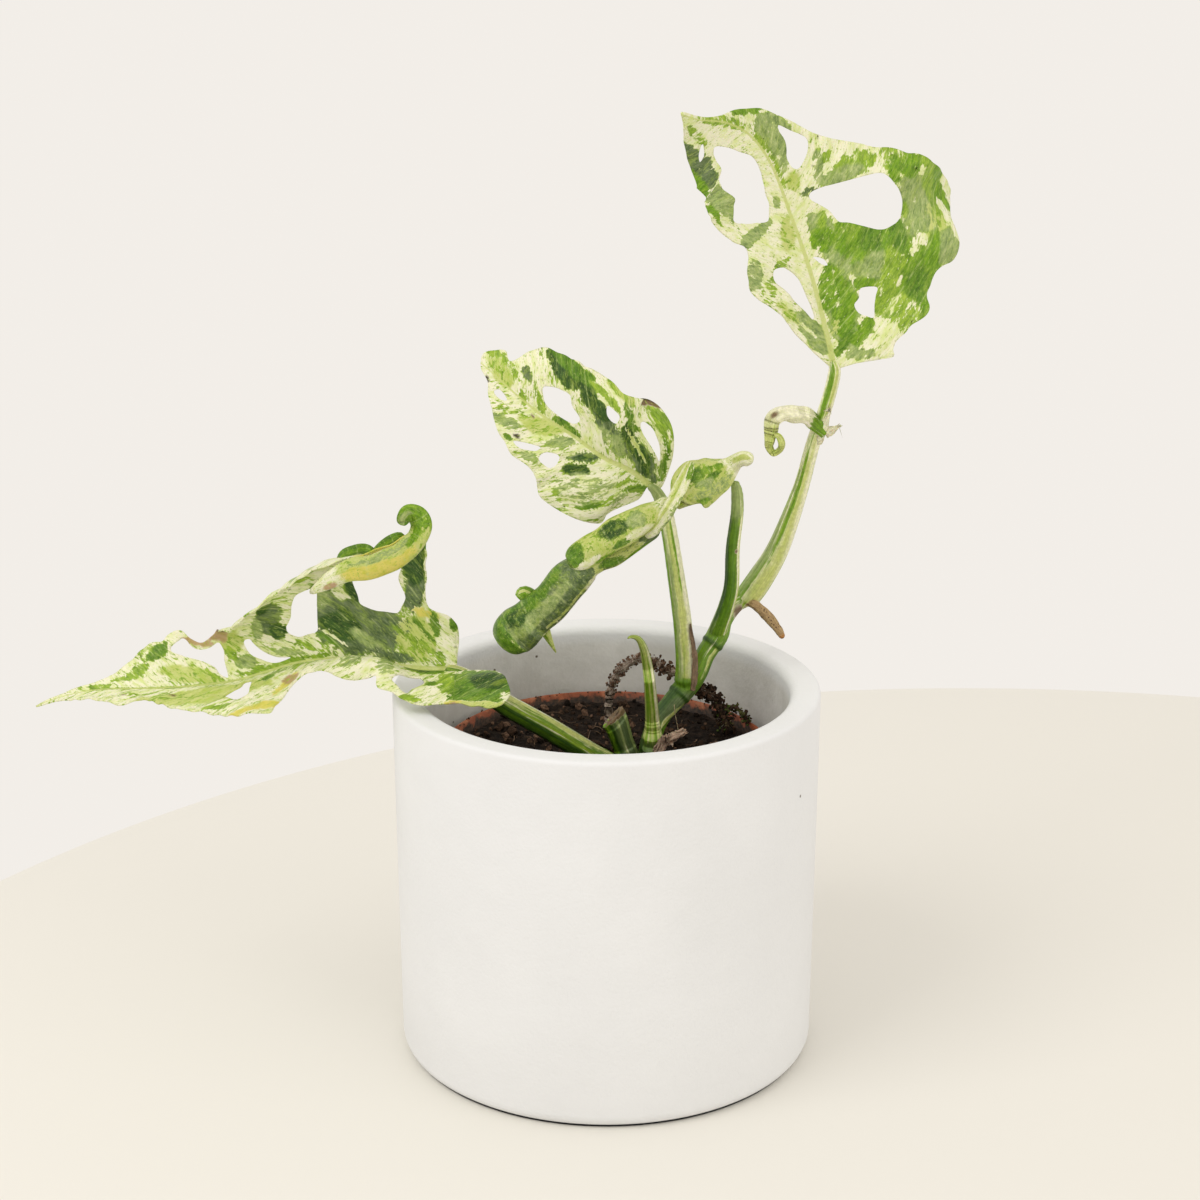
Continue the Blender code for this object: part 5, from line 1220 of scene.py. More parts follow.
# %% Nursery pot
nursery_profile = [
    (0, 9.5), (37.8, 9.5), (38.8, 10.5), (50.8, 95.2), (53.2, 97.4), (53.6, 102.5), (54.3, 103), (55, 102.5),
    (54.5, 94), (52, 93.6), (40, 9.3), (39, 8.3), (0, 8.3),
]
bm = turn(nursery_profile, 150)
mesh = bpy.data.meshes.new("uncut_pot")
bm.to_mesh(mesh)
uncut = bpy.data.objects.new("uncut_pot", mesh)
bm.free()
bm = bmesh.new()
for i in range(5):
    turned = Matrix.Rotation(math.tau * i / 5, 4, "Z") @ Matrix.Translation((26 * MM, 0, 9 * MM))
    bmesh.ops.create_cone(
        bm, cap_ends=True, segments=24, radius1=3.5 * MM, radius2=3.5 * MM, depth=5 * MM, matrix=turned
    )
mesh = bpy.data.meshes.new("drills")
bm.to_mesh(mesh)
drills = bpy.data.objects.new("drills", mesh)
for thing in (uncut, drills):
    scene.collection.objects.link(thing)
drill = uncut.modifiers.new("drill", "BOOLEAN")
drill.object = drills
bm.clear()
bm.from_object(uncut, bpy.context.evaluated_depsgraph_get())
for thing in (uncut, drills):
    bpy.data.objects.remove(thing)
nursery_pot = finished("terracotta_nursery_pot", bm, terracotta, ["nursery_pot"])
creased = nursery_pot.modifiers.new("crease", "EDGE_SPLIT")
creased.split_angle = math.radians(50)

# %% [markdown]
# ## Potting soil
# Potting soil is dark peat: clumps of two to four millimetres, loose crumbs and coarse fibres.
# The plug is a cone whose lid is inset ring by ring, so that it has points enough for the clumps,
# and noise lifts them. Some nine hundred loose crumbs, rough balls of twenty or eighty faces, lie
# on top and on the rim. Each crumb carries a tone, from peat black to bark brown and moss green.

# %% Peat
tree, shader, peat = new_finish("dark_peat")
place = object_place(tree)
tone = attribute(tree, "tone", "Fac")
clump = add(tree, "TexVoronoi", {"Vector": place, "Scale": 520.0, "Randomness": 1.0})
grit = speckle(tree, place, 1500, 4, 0.7)
colour = ramp(tree, speckle(tree, place, 420, 5, 0.75), [
    (0.35, (0.0055, 0.0038, 0.0026)), (0.55, (0.019, 0.012, 0.008)), (0.72, (0.062, 0.038, 0.024)),
])
barks = ramp(tree, tone, [
    (0, (0.02, 0.012, 0.008)), (0.35, (0.07, 0.038, 0.022)), (0.65, (0.2, 0.12, 0.08)),
    (0.85, (0.06, 0.085, 0.016)), (1, (0.1, 0.14, 0.03)),
])
barks = tinted(tree, barks, greys(tree, grit, 0.35, 0.5, 0.65, 1.6))
fill(tree, shader, {
    "Base Color": blend_colour(tree, edge(tree, tone, 0.02, 0.1), colour, barks),
    "Roughness": 0.95,
    "Specular IOR Level": 0.15,
    "Normal": relief(tree, grit, 0.35, 1.0, relief(tree, clump.outputs["Distance"], 1.0, 0.8)),
})


# %% Plug of soil
SOIL_LEVEL = 99.7
SOIL_LUMPS = ((1.3, 0.09, 3), (1.1, 0.28, 7), (0.5, 0.8, 1))  # height, how close together, seed


def soil_top(x, y):
    """Height of the loose soil in millimetres; it is banked up a little towards the pot."""
    near = smooth((math.hypot(x, y) - 43) / 7)
    lumps = sum(size * noise.noise((x * dense, y * dense, seed)) for size, dense, seed in SOIL_LUMPS)
    return SOIL_LEVEL + 0.8 * lumps + 0.5 * near


bm = bmesh.new()
bmesh.ops.create_cone(bm, cap_ends=True, segments=256, radius1=37.5 * MM, radius2=50.5 * MM, depth=85.4 * MM)
bmesh.ops.translate(bm, verts=bm.verts[:], vec=(0, 0, 52.5 * MM))
lid = max(bm.faces, key=lambda face: face.calc_center_median().z)
walls = {v for v in lid.verts}
for i in range(40):
    bmesh.ops.inset_region(bm, faces=[lid], thickness=(0.3 if i == 0 else 1.25) * MM, use_even_offset=True)
bmesh.ops.poke(bm, faces=[lid])
tones = bm.verts.layers.float.new("tone")
for vert in bm.verts:
    if vert.co.z > 95.1 * MM and vert not in walls:
        vert.co.z = float(soil_top(vert.co.x / MM, vert.co.y / MM)) * MM
bmesh.ops.recalc_face_normals(bm, faces=bm.faces[:])
finished("plug_of_peat", bm, peat, ["potting_soil"])

# %% Crumbs
chance = np.random.default_rng(12)


def crumb(bm, place, size, tone, fine=True):
    """One rough crumb at a place in millimetres."""
    layer = bm.verts.layers.float.get("tone") or bm.verts.layers.float.new("tone")
    lump = bmesh.ops.create_icosphere(bm, subdivisions=1 if fine else 2, radius=1.0)["verts"]
    seed = Vector(chance.uniform(0, 50, 3))
    for vert in lump:
        vert.co *= 1 + 0.75 * noise.noise(vert.co * 1.3 + seed)
        vert[layer] = tone
    shape = Matrix.Diagonal((*(size * MM * chance.uniform(0.6, 1.15, 3)), 1))
    turned = Euler(chance.uniform(0, math.tau, 3)).to_matrix().to_4x4()
    bmesh.ops.transform(bm, matrix=Matrix.Translation(Vector(place) * MM) @ turned @ shape, verts=lump)


bm = bmesh.new()
for i in range(760):
    r, a = 50 * math.sqrt(chance.uniform()), chance.uniform(0, math.tau)
    x, y = r * math.cos(a), r * math.sin(a)
    size = chance.uniform(1.0, 2.1) if i < 120 else chance.uniform(0.35, 1.0)
    tone = chance.choice((0.0, 0.0, 0.12, 0.2, 0.35, 0.5))
    crumb(bm, (x, y, soil_top(x, y) + 0.3 * size), size, tone, i >= 120)
for i in range(150):
    a = chance.uniform(0, math.tau)
    r = chance.uniform(52.6, 55.2)
    place = (r * math.cos(a), r * math.sin(a), 103.05)
    crumb(bm, place, chance.uniform(0.2, 0.55), chance.choice((0.1, 0.3, 0.4, 0.6)))
soil_crumbs = finished("loose_crumbs", bm, peat)
soil_crumbs.data.polygons.foreach_set("use_smooth", [False] * len(soil_crumbs.data.polygons))

# %% Fibres in the soil
tree, shader, fibre = new_finish("coir_fibre")
place = object_place(tree)
browns = ramp(tree, speckle(tree, place, 300, 3), [(0.35, (0.045, 0.024, 0.012)), (0.65, (0.22, 0.13, 0.07))])
fill(tree, shader, {"Base Color": browns, "Roughness": 0.8})
bm = bmesh.new()
for i in range(56):
    r, a, bend = 46 * math.sqrt(chance.uniform()), chance.uniform(0, math.tau), chance.uniform(-0.5, 0.5)
    points, heading = [], chance.uniform(0, math.tau)
    x, y = r * math.cos(a), r * math.sin(a)
    for k in range(5):
        x, y, heading = x + 2.0 * math.cos(heading), y + 2.0 * math.sin(heading), heading + bend
        if math.hypot(x, y) > 50:
            break
        points.append((x, y, soil_top(x, y) + 0.5 + 0.5 * math.sin(k * 1.3 + i), 0.16))
    if len(points) > 3:
        rod(bm, points, 5, 1.6)
finished("coir_fibres", bm, fibre)

# %% [markdown]
# ## Roots
# A root in the air is a blunt, corky spindle with an orange growing tip. The older roots
# arch over the soil and are crusted with crumbs and pale fluff. Each is a rod, and on the
# crusted ones the crumbs and fine hairs are laid round the same middle line.


# %% Root finish
def root_finish(name, light, dark, tip_at, seed):
    """Cork in two tones with dark specks; past tip_at millimetres it turns orange."""
    tree, shader, finish = new_finish(name)
    grain = attribute(tree, "grain")
    place = object_place(tree)
    cork = speckle(tree, vector_node(tree, "MULTIPLY", grain, (1.6, 1.6, 2.2)), seed, 5, 0.7)
    colour = ramp(tree, cork, [(0.36, dark), (0.62, light)])
    specks = add(tree, "TexVoronoi", {"Vector": place, "Scale": 1300.0})
    chosen = math_node(tree, "GREATER_THAN", channel(tree, specks.outputs["Color"], 0), 0.72)
    spot = times(tree, chosen, edge(tree, specks.outputs["Distance"], 0.42, 0.25))
    colour = blend_colour(tree, times(tree, spot, 0.8), colour, (0.07, 0.035, 0.02))
    tip = edge(tree, part(tree, grain, "Z"), tip_at * 0.1 - 0.08, tip_at * 0.1 + 0.08)
    colour = blend_colour(tree, times(tree, tip, 0.85), colour, (0.42, 0.17, 0.04))
    bumps = relief(tree, cork, 0.3, 0.9)
    fill(tree, shader, {"Base Color": colour, "Roughness": 0.8, "Specular IOR Level": 0.2, "Normal": bumps})
    return finish


# %% Aerial root
AERIAL_ROOT = [
    (46, 22, 147, 1.5), (50, 18, 146, 1.5), (54, 16, 142.5, 1.4), (57, 14, 139, 1.3), (58.5, 13, 136.5, 1),
]


def spindle(a, s):
    knobs = noise.noise((2 * math.cos(a), 2 * math.sin(a), s * 0.5))
    return 0.95 + 0.32 * math.exp(-((s - 11) / 4.5) ** 2) + 0.16 * knobs


bm = bmesh.new()
rod(bm, AERIAL_ROOT, 28, 0.5, spindle, 1.2)
corky = root_finish("corky_root", (0.52, 0.37, 0.18), (0.27, 0.165, 0.085), 18.2, 3.0)
finished("aerial_root_spindle", bm, corky, ["aerial_root"])

# %% Crust: crumbs and hairs round a middle line
def crust(bm, points, count, spread, sizes, tones, span=(0, 1)):
    """Crumbs round a line, as many as count, up to spread millimetres off its skin."""
    rows = frames_along(points, 0.3)
    for _ in range(count):
        i = int(chance.uniform(*span) * (len(rows[0]) - 1))
        a, off = chance.uniform(0, math.tau), rows[5][i] + spread * chance.uniform(0, 1) ** 2
        spot = rows[1][i] + (rows[2][i] * math.sin(a) + rows[3][i] * math.cos(a)) * off
        crumb(bm, spot, chance.uniform(*sizes), chance.choice(tones))


def hairs(bm, points, count, length, span=(0, 1)):
    """Fine root hairs: needles that stand on the skin of a root."""
    rows = frames_along(points, 0.3)
    for _ in range(count):
        i = int(chance.uniform(*span) * (len(rows[0]) - 1))
        a = chance.uniform(0, math.tau)
        out = rows[2][i] * math.sin(a) + rows[3][i] * math.cos(a) + chance.uniform(-0.5, 0.5, 3)
        out = Vector(out).normalized()
        size = length * chance.uniform(0.5, 1.0)
        middle = Vector(rows[1][i]) + out * (rows[5][i] * 0.8 + size / 2)
        lay = Matrix.Translation(middle * MM) @ out.to_track_quat("Z", "Y").to_matrix().to_4x4()
        bmesh.ops.create_cone(
            bm, cap_ends=True, segments=3, radius1=0.05 * MM, radius2=0.02 * MM, depth=size * MM, matrix=lay
        )


LOOPED_ROOT = [
    (1, 24, 92, 1.6), (1, 24, 103, 1.6), (1, 24, 111, 1.6), (2, 24, 116, 1.5), (4, 23, 121, 1.5),
    (8, 22, 125, 1.4), (12, 21, 127, 1.4), (16, 20, 126, 1.3), (19.5, 18, 124, 1.3), (23, 14, 124, 1.2),
]
RIGHT_ROOT = [
    (44, 20, 92, 1.3), (42, 22, 99, 1.4), (39, 22, 107, 1.4), (36, 20, 113, 1.5), (32, 18, 117, 1.5),
    (27, 13, 121, 1.5),
]
SIDE_ROOT = [(39, 22, 107, 0.7), (43.5, 22, 109, 0.7), (46, 23, 106, 0.6), (48.5, 23, 103, 0.5)]


def knobbly(a, s):
    return 0.82 + 0.5 * noise.noise((1.5 * math.cos(a), 1.5 * math.sin(a), s * 0.7))


# %% Looped root and right root
fluffy = root_finish("fluffy_root", (0.46, 0.38, 0.31), (0.13, 0.078, 0.055), 900, 2.6)
earthy = root_finish("earthy_root", (0.10, 0.062, 0.035), (0.028, 0.017, 0.011), 900, 2.2)
bm = bmesh.new()
rod(bm, LOOPED_ROOT, 20, 0.5, knobbly, 1.0)
finished("looped_root_arch", bm, fluffy, ["looped_root"])
bm = bmesh.new()
rod(bm, RIGHT_ROOT, 20, 0.5, knobbly, 1.0)
rod(bm, SIDE_ROOT, 12, 0.5, knobbly, 0.8)
finished("right_root_arch", bm, earthy, ["right_root"])

# %% Crumbs and fluff on the roots
bm = bmesh.new()
crust(bm, LOOPED_ROOT, 230, 0.7, (0.25, 0.65), (0.35, 0.45, 0.55, 0.6), (0.25, 0.98))
crust(bm, LOOPED_ROOT, 60, 1.6, (0.4, 0.9), (0.3, 0.4, 0.5), (0.78, 0.97))
crust(bm, RIGHT_ROOT, 330, 1.7, (0.3, 0.95), (0.05, 0.12, 0.2, 0.35), (0.15, 1))
crust(bm, RIGHT_ROOT, 60, 2.2, (0.25, 0.7), (0.75, 0.85, 0.95), (0.2, 0.6))
crust(bm, SIDE_ROOT, 110, 1.3, (0.3, 0.8), (0.1, 0.2, 0.8, 0.9, 0.3), (0, 1))
root_crumbs = finished("crumbs_on_the_roots", bm, peat)
root_crumbs.data.polygons.foreach_set("use_smooth", [False] * len(root_crumbs.data.polygons))
tree, shader, fluff = new_finish("pale_fluff")
pales = speckle(tree, object_place(tree), 200, 2)
pales = ramp(tree, pales, [(0.4, (0.42, 0.36, 0.29)), (0.6, (0.72, 0.68, 0.60))])
fill(tree, shader, {"Base Color": pales, "Roughness": 0.9})
bm = bmesh.new()
hairs(bm, LOOPED_ROOT, 420, 1.3, (0.3, 0.97))
hairs(bm, RIGHT_ROOT, 120, 1.4, (0.3, 0.97))
finished("root_hairs", bm, fluff)

# %% [markdown]
# ## Papery sheaths and the new leaf
# Every leaf of an aroid unrolls out of a sheath that dries to brown paper and tears. A strip
# of grid is bent along a line, curled across it and torn at its ends with noise, then given
# a thin wall. The newest leaf is still a soft cream roll that droops and curls at its tip.


# %% Papery strip
def papery(bm, points, curl, wrinkle, torn, seed, thick=0.22):
    """A curled strip along (x, y, z, half width), wrinkled and torn."""
    grain = bm.verts.layers.float_vector.get("grain") or bm.verts.layers.float_vector.new("grain")
    rows = frames_along(points, 0.25)
    last = len(rows[0]) - 1
    strip = bmesh.ops.create_grid(bm, x_segments=last, y_segments=18, size=1.0)["verts"]
    for vert in strip:
        s, t = (vert.co.x + 1) / 2 * last, vert.co.y
        tear = 2.4 * noise.noise((t * 2.7, seed, 0)) + 1.2 * noise.noise((t * 8, seed, 4))
        over = torn * (s / last) ** 3 * tear
        i = min(int(s), last - 1)
        centre, side, front = (rows[k][i] + (rows[k][i + 1] - rows[k][i]) * (s - i) for k in (1, 2, 3))
        uneven = 1 + 0.25 * noise.noise((s * 0.09, seed, 5)) + 0.16 * noise.noise((s * 0.5, t, seed))
        half = rows[5][i] * uneven
        turned = curl * t
        ripple = wrinkle * noise.noise((s * 0.06, t * 1.8, seed + 2))
        ripple += 0.4 * wrinkle * noise.noise((s * 0.2, t * 5, seed + 4))
        aside = side * half * math.sin(turned) / curl
        spot = centre + aside - front * (half * (1 - math.cos(turned)) / curl - ripple)
        vert.co = Vector((spot + rows[4][i] * over) * MM)
        vert[grain] = (t, 0.0, s * 0.03)
    skin = list({f for v in strip for f in v.link_faces})
    bmesh.ops.recalc_face_normals(bm, faces=skin)
    bmesh.ops.solidify(bm, geom=skin, thickness=thick * MM)


# %% Paper finish
def paper_finish(name, light, dark, seed):
    """Dry paper in two tones, ribbed lengthwise."""
    tree, shader, finish = new_finish(name)
    grain = attribute(tree, "grain")
    ribs = speckle(tree, vector_node(tree, "MULTIPLY", grain, (7.0, 1.0, 1.2)), seed, 4, 0.7, 0.3)
    colour = ramp(tree, ribs, [(0.34, dark), (0.64, light)])
    spots = speckle(tree, object_place(tree), 700, 3, 0.7)
    colour = tinted(tree, colour, greys(tree, spots, 0.35, 0.72, 0.65, 1.2))
    fill(tree, shader, {
        "Base Color": colour, "Roughness": 0.75, "Subsurface Weight": 0.1, "Subsurface Scale": 0.001,
        "Normal": relief(tree, ribs, 0.25, 0.9, relief(tree, spots, 0.08, 0.7)),
    })
    return finish


# %% Dry sheath at the foot
bm = bmesh.new()
papery(bm, [
    (14.5, -5.5, 92, 1.6), (15.5, -6, 101, 2), (18, -6.5, 105.5, 2.6), (21, -7, 108.5, 2.2),
    (25.8, -7, 111.3, 1.3),
], 1.5, 1.3, 0.9, 4.0)
papery(bm, [(17, -6.5, 104, 1), (18, -7, 107, 1.2), (18.8, -7.2, 109.8, 0.7)], 1.2, 0.8, 0.8, 9.0)
dry_paper = paper_finish("dry_paper", (0.52, 0.38, 0.27), (0.20, 0.12, 0.08), 2.2)
finished("dry_sheath_scrap", bm, dry_paper, ["dry_sheath"])

# %% Brown sheaths at the nodes
bm = bmesh.new()
papery(bm, [
    (28.6, 9.2, 119.5, 0.9), (29.2, 9.2, 124, 1.1), (29.2, 9.2, 131, 0.9), (28.2, 9.4, 137.5, 0.6),
    (27.6, 9.8, 142.5, 0.2),
], 1.0, 0.3, 0.4, 14.0)
brown_paper = paper_finish("brown_paper", (0.36, 0.25, 0.15), (0.13, 0.075, 0.04), 2.8)
finished("node_sheaths", bm, brown_paper)

# %% Cream collar on the top stalk
bm = bmesh.new()
papery(bm, [
    (68.6, 14.8, 202, 2.2), (69.2, 13.8, 205, 3), (70.3, 13.4, 208.5, 2.9), (71.8, 13.6, 214.6, 0.7),
], 2.0, 0.5, 0.4, 23.0)
papery(bm, [
    (70.6, 13.8, 205.6, 1.7), (72.6, 14, 206.9, 1.5), (74.3, 14.4, 208, 0.8), (75.3, 14.8, 208.6, 0.25),
], 1.0, 0.4, 0.3, 27.0)
cream_paper = paper_finish("cream_paper", (0.80, 0.76, 0.56), (0.58, 0.56, 0.30), 1.6)
finished("cream_collar", bm, cream_paper)

# %% New leaf
NEW_LEAF = [
    (70.5, 15, 206, 2.2), (67.7, 14.5, 208.8, 3), (64.5, 13.5, 211.8, 3.2), (60, 12, 213.2, 3.3),
    (56, 11, 213.3, 3.3), (53.4, 10.5, 211.4, 3.1), (52.8, 10, 208, 2.7), (52.4, 10, 204.8, 2.1),
    (52.2, 10, 202.6, 1.7), (53.6, 9.4, 200.6, 1.5), (55.6, 8.8, 201.8, 1.4), (56.2, 8.4, 204, 1.4),
    (55.2, 8.3, 206.3, 1.2), (53.6, 8.4, 207.2, 0.9),
]


def loose_roll(a, s):
    """A flattened section with a long furrow that turns slowly round it."""
    furrow = 0.24 * math.exp(-((a - 0.7 + 0.02 * s) / 0.28) ** 2)
    crumple = 0.22 * noise.noise((1.5 * math.cos(a), 1.5 * math.sin(a), s * 0.22))
    return 0.86 + 0.12 * math.cos(2 * a + 0.5) - furrow + crumple


bm = bmesh.new()
rod(bm, NEW_LEAF, 40, 0.4, loose_roll, 0.8)
soft_cream = stem_finish("soft_cream_leaf", 13.3, 0.42)
new_leaf = finished("new_leaf_roll", bm, soft_cream, ["leaf_new"])
tone_rows(new_leaf.data, *grain_of(new_leaf.data), 0.10, [
    ("cream", 15, 0, 40, 40, 0, 0.06), ("grass", 3, 0, 4.4, 40, 0, 0.8), ("lime", 30, 0, 9, 40, 0, 0.22),
    ("lime", 37, 0, 9, 40, 0, 0.34), ("tan", 19.5, 2, 1, 1.4),
], 61)

# %% [markdown]
# ## Rolled leaf
# The lowest blade of the climbing stem never opened. It is a roll inside a roll: a fat
# grey-green tube with a closed round end, a second roll above it, a pale strip that crosses
# over, a hump, and a cream tip that points up to the right. A roll is a rod whose section is a
# spiral, so that the outer margin shows as a small step, and it wears the leaf finish.


# %% Rolled parts of a blade
def squeezed(depth, turned=0.0, lap_at=None, lap=0.1, dents=0.1):
    """A section that is depth times as deep as it is wide, with the step of a lapped margin."""
    def shape(a, s):
        size = 1 / math.hypot(math.cos(a - turned) / depth, math.sin(a - turned))
        if lap_at is not None:
            size *= 1 + lap * (((a - lap_at) % math.tau) / math.tau - 0.5)
        return size * (1 + dents * noise.noise((1.3 * math.cos(a), 1.3 * math.sin(a), s * 0.16 + 7)))
    return shape


def roll(bm, points, sides, shape, rounded, ground, strokes, seed):
    """A rolled part, painted with strokes on (millimetres along, degrees round / 15)."""
    layers = bm.verts.layers
    grain = layers.float_vector.get("grain") or layers.float_vector.new("grain")
    for name in ("green_tone", "pale_tone"):
        layers.float_color.get(name) or layers.float_color.new(name)
    verts = [vert for ring, _ in rod(bm, points, sides, 0.6, shape, rounded, 0.2) for vert in ring]
    green_tone, pale_tone = layers.float_color["green_tone"], layers.float_color["pale_tone"]
    run = np.array([vert[grain].z * 10 for vert in verts])
    angle = np.array([math.atan2(vert[grain].y, vert[grain].x) for vert in verts])
    green, pale, share = brush(run, np.degrees(angle) / 15, ground, strokes, seed, 0.3)
    for n, vert in enumerate(verts):
        vert[green_tone], vert[pale_tone] = (*green[n], share[n]), (*pale[n], 1)
        vert[grain] = (run[n] * 0.1, 5 + 0.7 * math.sin(angle[n]), 0.6 * math.cos(angle[n]))


# %% Rolled leaf
LOWER_ROLL = [
    (-33.6, -14, 143.4, 2.6), (-33, -14, 144, 4.6), (-31.8, -14, 145.2, 6.3), (-29.9, -14, 147.1, 7.2),
    (-27, -14, 149.5, 7.2), (-22.9, -14, 153.5, 6.6), (-18.4, -14, 157.5, 6.2), (-13.9, -13.5, 162.4, 6.4),
    (-10.1, -13, 166.6, 6), (-5.9, -12.5, 169.7, 4.6), (-2.1, -12, 170.6, 3), (3.3, -11, 171.6, 2.1),
    (10.2, -9.5, 176.1, 2), (16.6, -8, 181.3, 2.4),
]
UPPER_ROLL = [
    (-11.8, -15, 170.6, 1.6), (-11.2, -15, 171, 3), (-10, -15, 172, 4.2), (-8.4, -15, 173.3, 4.7),
    (-5.3, -14.5, 175.3, 4.6), (-0.9, -14, 178.1, 4.6), (3.5, -13, 180.8, 4.9), (8, -12, 183.1, 4.8),
    (12.4, -10.5, 184.7, 4.4), (16.8, -9, 186.9, 3.4), (20.6, -8, 189.9, 2.6),
]
PALE_STRIP = [
    (26.6, -7, 202, 1), (25.9, -8, 200.3, 1.8), (24.6, -9.5, 197.5, 2.2), (22.7, -11, 193.6, 2.3),
    (20.5, -12.5, 189.8, 2.3), (18, -13, 185.7, 2.2), (14.9, -13, 181.4, 1.8), (12.1, -12.5, 179.3, 1.2),
]
HUMP = [
    (22.1, -4, 186.4, 1.5), (23.9, -4, 189.4, 4.5), (26.2, -3.5, 192.2, 6.6), (29.3, -3, 193.8, 7.6),
    (32.2, -2, 194.8, 7.2), (35.1, -1.2, 196, 6), (37.7, -0.5, 197.6, 4.4), (39.5, -0.5, 199, 3.2),
    (41.4, -0.8, 200.7, 2.6), (43.3, -1.2, 201.5, 2.6), (44.9, -1.6, 201.3, 2.4), (46.4, -2, 200.7, 1.6),
]
BUMP = [(-28, -12, 158.6, 1.6), (-26.4, -12, 159.9, 2.7), (-24.4, -12.5, 158.7, 3), (-22.2, -13, 156.9, 2.2)]
POINT = [
    (-19.7, -13, 147.8, 1.7), (-18.5, -13, 145.1, 1.2), (-17.2, -13, 142.4, 0.6), (-16.2, -13, 140.4, 0.2),
]
bm = bmesh.new()
roll(bm, LOWER_ROLL, 56, squeezed(0.85, 0, 1.15, 0.22), 3.5, 0.93, [
    # The sage band along the middle of the lower roll is a painted highlight.
    ("slate", 22, 0, 60, 24, 0, 0.96), ("sage", 16, -0.5, 15, 1.5, 0, 0.95),
    ("deep", 18, -4.5, 14, 2.4, 0, 1), ("deep", 2.5, 0, 3.6, 24, 0, 0.97), ("lime", 5.4, 2, 0.5, 4, 0, 0.6),
    ("dark", 11, -3, 3.5, 2), ("cream", 26, 4.6, 20, 0.6, 0, 0.15), ("lime", 30, 3.2, 14, 0.5, 0, 0.3),
    ("husky", 14, 6.6, 9, 0.5), ("lime", 48, 0, 9, 24, 0, 0.35), ("deep", 46, 0.5, 4, 3, 0, 1),
    ("cream", 38, 5, 8, 2, 0, 0.2), ("grass", 54, 4, 5, 2, 0, 0.9),
], 71)
roll(bm, UPPER_ROLL, 48, squeezed(0.85, 0, 1.4, 0.2), 2.6, 0.32, [
    ("lime", 14, 0, 20, 24), ("deep", 2, -2.5, 4.2, 4, 0, 1), ("cream", 5, 2.4, 5, 1.5, 0, 0.12),
    ("dark", 17, -2.4, 5, 2.6, 10), ("deep", 18, 2.6, 4, 1.1, 0, 1), ("grass", 11, 4.5, 4, 1, 0, 0.8),
    ("sage", 25, -1.5, 3, 2.4, 0, 0.85), ("cream", 24, 2.2, 5, 1.4, 0, 0.12),
], 72)
roll(bm, PALE_STRIP, 28, squeezed(0.35, 0.4), 0.8, 0.14, [
    ("cream", 12, 0, 30, 24, 0, 0.12), ("lime", 10, 4, 20, 2, 0, 0.34), ("grass", 3, -2, 3, 2.5, 0, 0.7),
    ("sage", 17, -4, 7, 1.5, 0, 0.6),
], 73)
roll(bm, HUMP, 56, squeezed(0.62, 0, -1.9, 0.16, 0.18), 1.2, 0.30, [
    ("lime", 14, 0, 24, 24, 0, 0.32), ("sage", 14, 2.5, 9, 2, 0, 0.55), ("deep", 10, -3.2, 2.6, 1.6, 0, 1),
    ("grass", 14.5, -3.4, 2.4, 1.3, 0, 1), ("deep", 15.5, -1.6, 3.6, 0.9, 0, 1),
    ("grass", 19, -3.2, 2.2, 1.1, 0, 0.95), ("sage", 12, -0.6, 3, 1, 0, 0.9), ("grass", 9, 4, 3, 1, 0, 0.8),
    ("cream", 29, 0, 8, 24), ("lime", 27, -2, 3, 2, 0, 0.3),
], 74)
roll(bm, BUMP, 28, squeezed(0.8), 1.2, 0.9, [
    ("grass", 3, 0, 5, 24, 0, 0.95), ("lime", 4, -3, 4, 1, 0, 0.3),
], 75)
roll(bm, POINT, 20, squeezed(0.5), 0.4, 0.3, [
    ("lime", 4, 0, 9, 24, 0, 0.3), ("grass", 2, 3, 4, 2, 0, 0.8),
], 76)
finished("rolled_leaf", bm, leaf_finish("rolled_leaf_skin", 11.9), ["leaf_rolled"])

# %% [markdown]
# ## Curled margin of the left leaf
# The far margin of the left leaf turns over, shows its yellowing underside, and ends in a finger
# that bends back to the left. Behind it stand two dark wavy lobes.

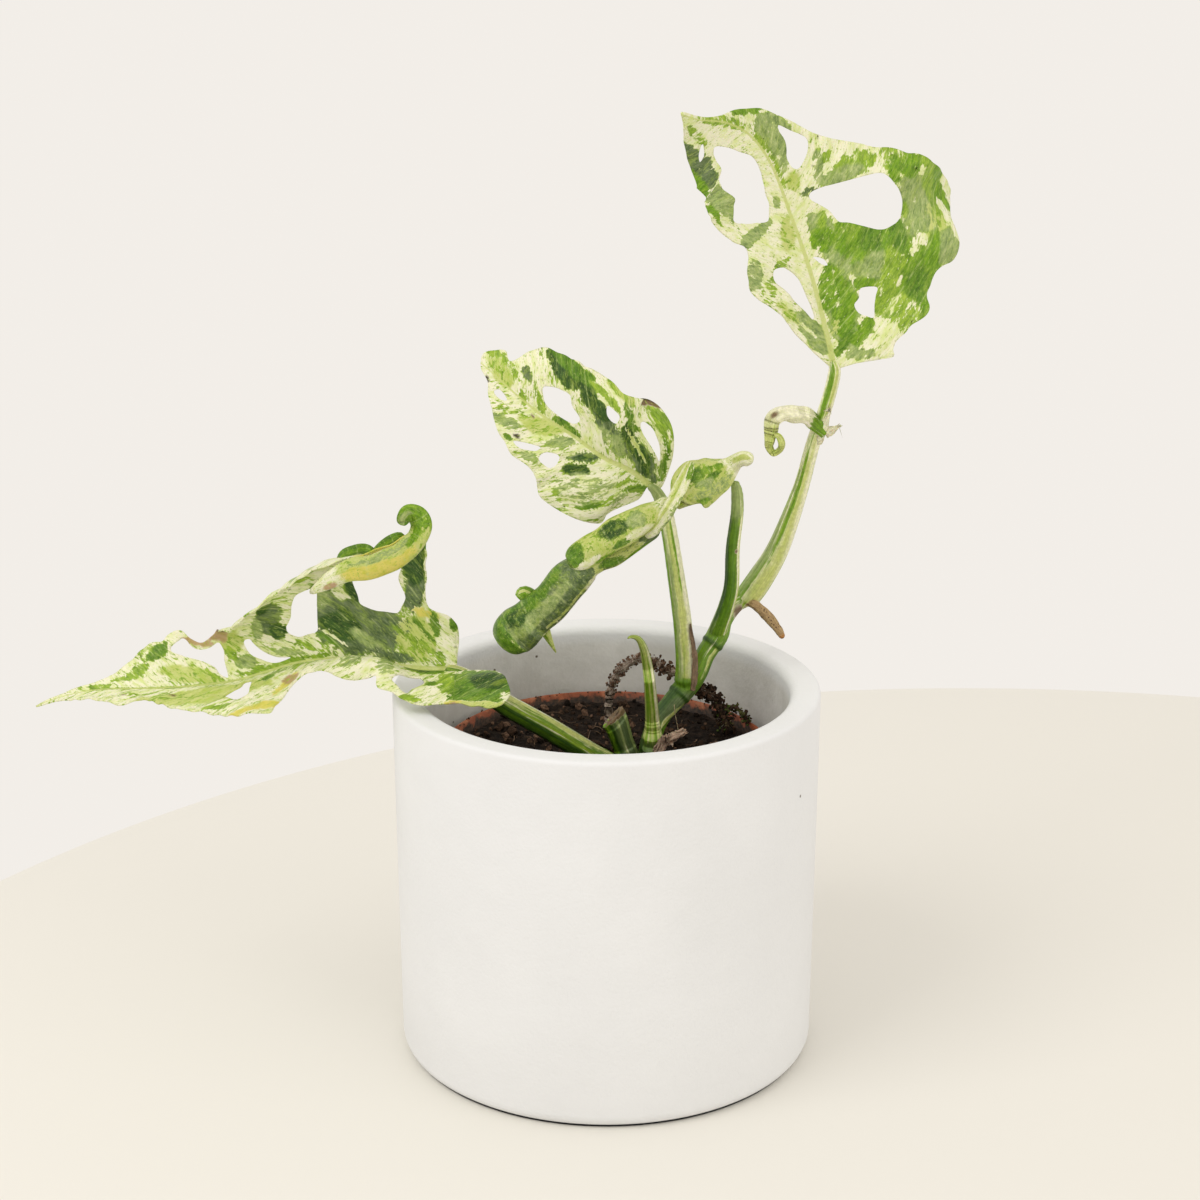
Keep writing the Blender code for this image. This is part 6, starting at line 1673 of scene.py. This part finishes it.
# %% Curled margin
FINGER = [
    (-93.9, -16.6, 161.7, 0.4), (-92.8, -17.4, 162.7, 1.2), (-88.8, -19, 165.7, 2.3),
    (-83.4, -21.5, 169.6, 3.1), (-78.6, -23, 171.7, 3.6), (-74, -23.5, 172.4, 3.8), (-69.1, -23, 174, 3.8),
    (-65, -22, 175.9, 3.6), (-61.7, -20, 178.3, 3.4), (-59.3, -18, 180.9, 3.3), (-58.3, -16.5, 184.1, 3.3),
    (-59.5, -16.5, 187.1, 3.3), (-61.9, -17.5, 188.3, 2.9), (-63.4, -19, 186.7, 2.4),
    (-63.4, -19.5, 184.7, 1.6),
]
LOBES = [
    [
        (-84.6, -9.5, 167.3, 2), (-83.4, -8.9, 170.9, 2.8), (-80.4, -8.7, 172.3, 2.9),
        (-76.7, -8.9, 173.1, 2.6), (-73.9, -9.5, 171.9, 1.8),
    ],
    [
        (-74.5, -9.5, 171.5, 1.8), (-71.1, -8.9, 174, 2.7), (-68, -8.9, 176.2, 2.7), (-65.6, -9.1, 177.6, 2),
        (-65, -9.5, 175.8, 1.2),
    ],
]
bm = bmesh.new()
roll(bm, FINGER, 36, squeezed(0.5, -0.2, 1.5, 0.12), 1.6, 0.34, [
    ("lime", 30, 0, 40, 24, 0, 0.34), ("butter", 26, 1.5, 13, 3.6, 0, 0.1), ("sage", 30, -4, 12, 1.6, 0, 0.6),
    ("cream", 6, 0, 8, 24, 0, 0.2), ("grass", 46, -2, 10, 2.6, 0, 0.9), ("grass", 56, 0, 10, 24, 0, 0.9),
    ("deep", 62, 0, 8, 24, 0, 1), ("sage", 55, 1, 4, 2, 0, 0.95), ("pink", 9, 3, 3, 2),
], 77)
for k, points in enumerate(LOBES):
    roll(bm, points, 32, squeezed(0.22, -0.3), 1.0, 0.95, [
        # The sage patch on each dark lobe is a painted highlight.
        ("deep", 6, 0, 20, 24, 0, 1), ("grass", 6, -4, 12, 1.5, 0, 1), ("sage", 5, 2, 4, 2, 0, 0.95),
    ], 78 + k)
finished("curled_margin", bm, leaf_finish("curled_margin_skin", 17.3))

# %% Hanging fibre
bm = bmesh.new()
rod(bm, [
    (22.1, -4.2, 119.5, 0.13), (22.3, -5, 117, 0.12), (22.9, -5.4, 114, 0.11), (23.5, -6, 111, 0.1),
], 6, 0.8)
straw = paper_finish("straw", (0.62, 0.52, 0.33), (0.34, 0.26, 0.13), 2.0)
finished("hanging_fibre", bm, straw)
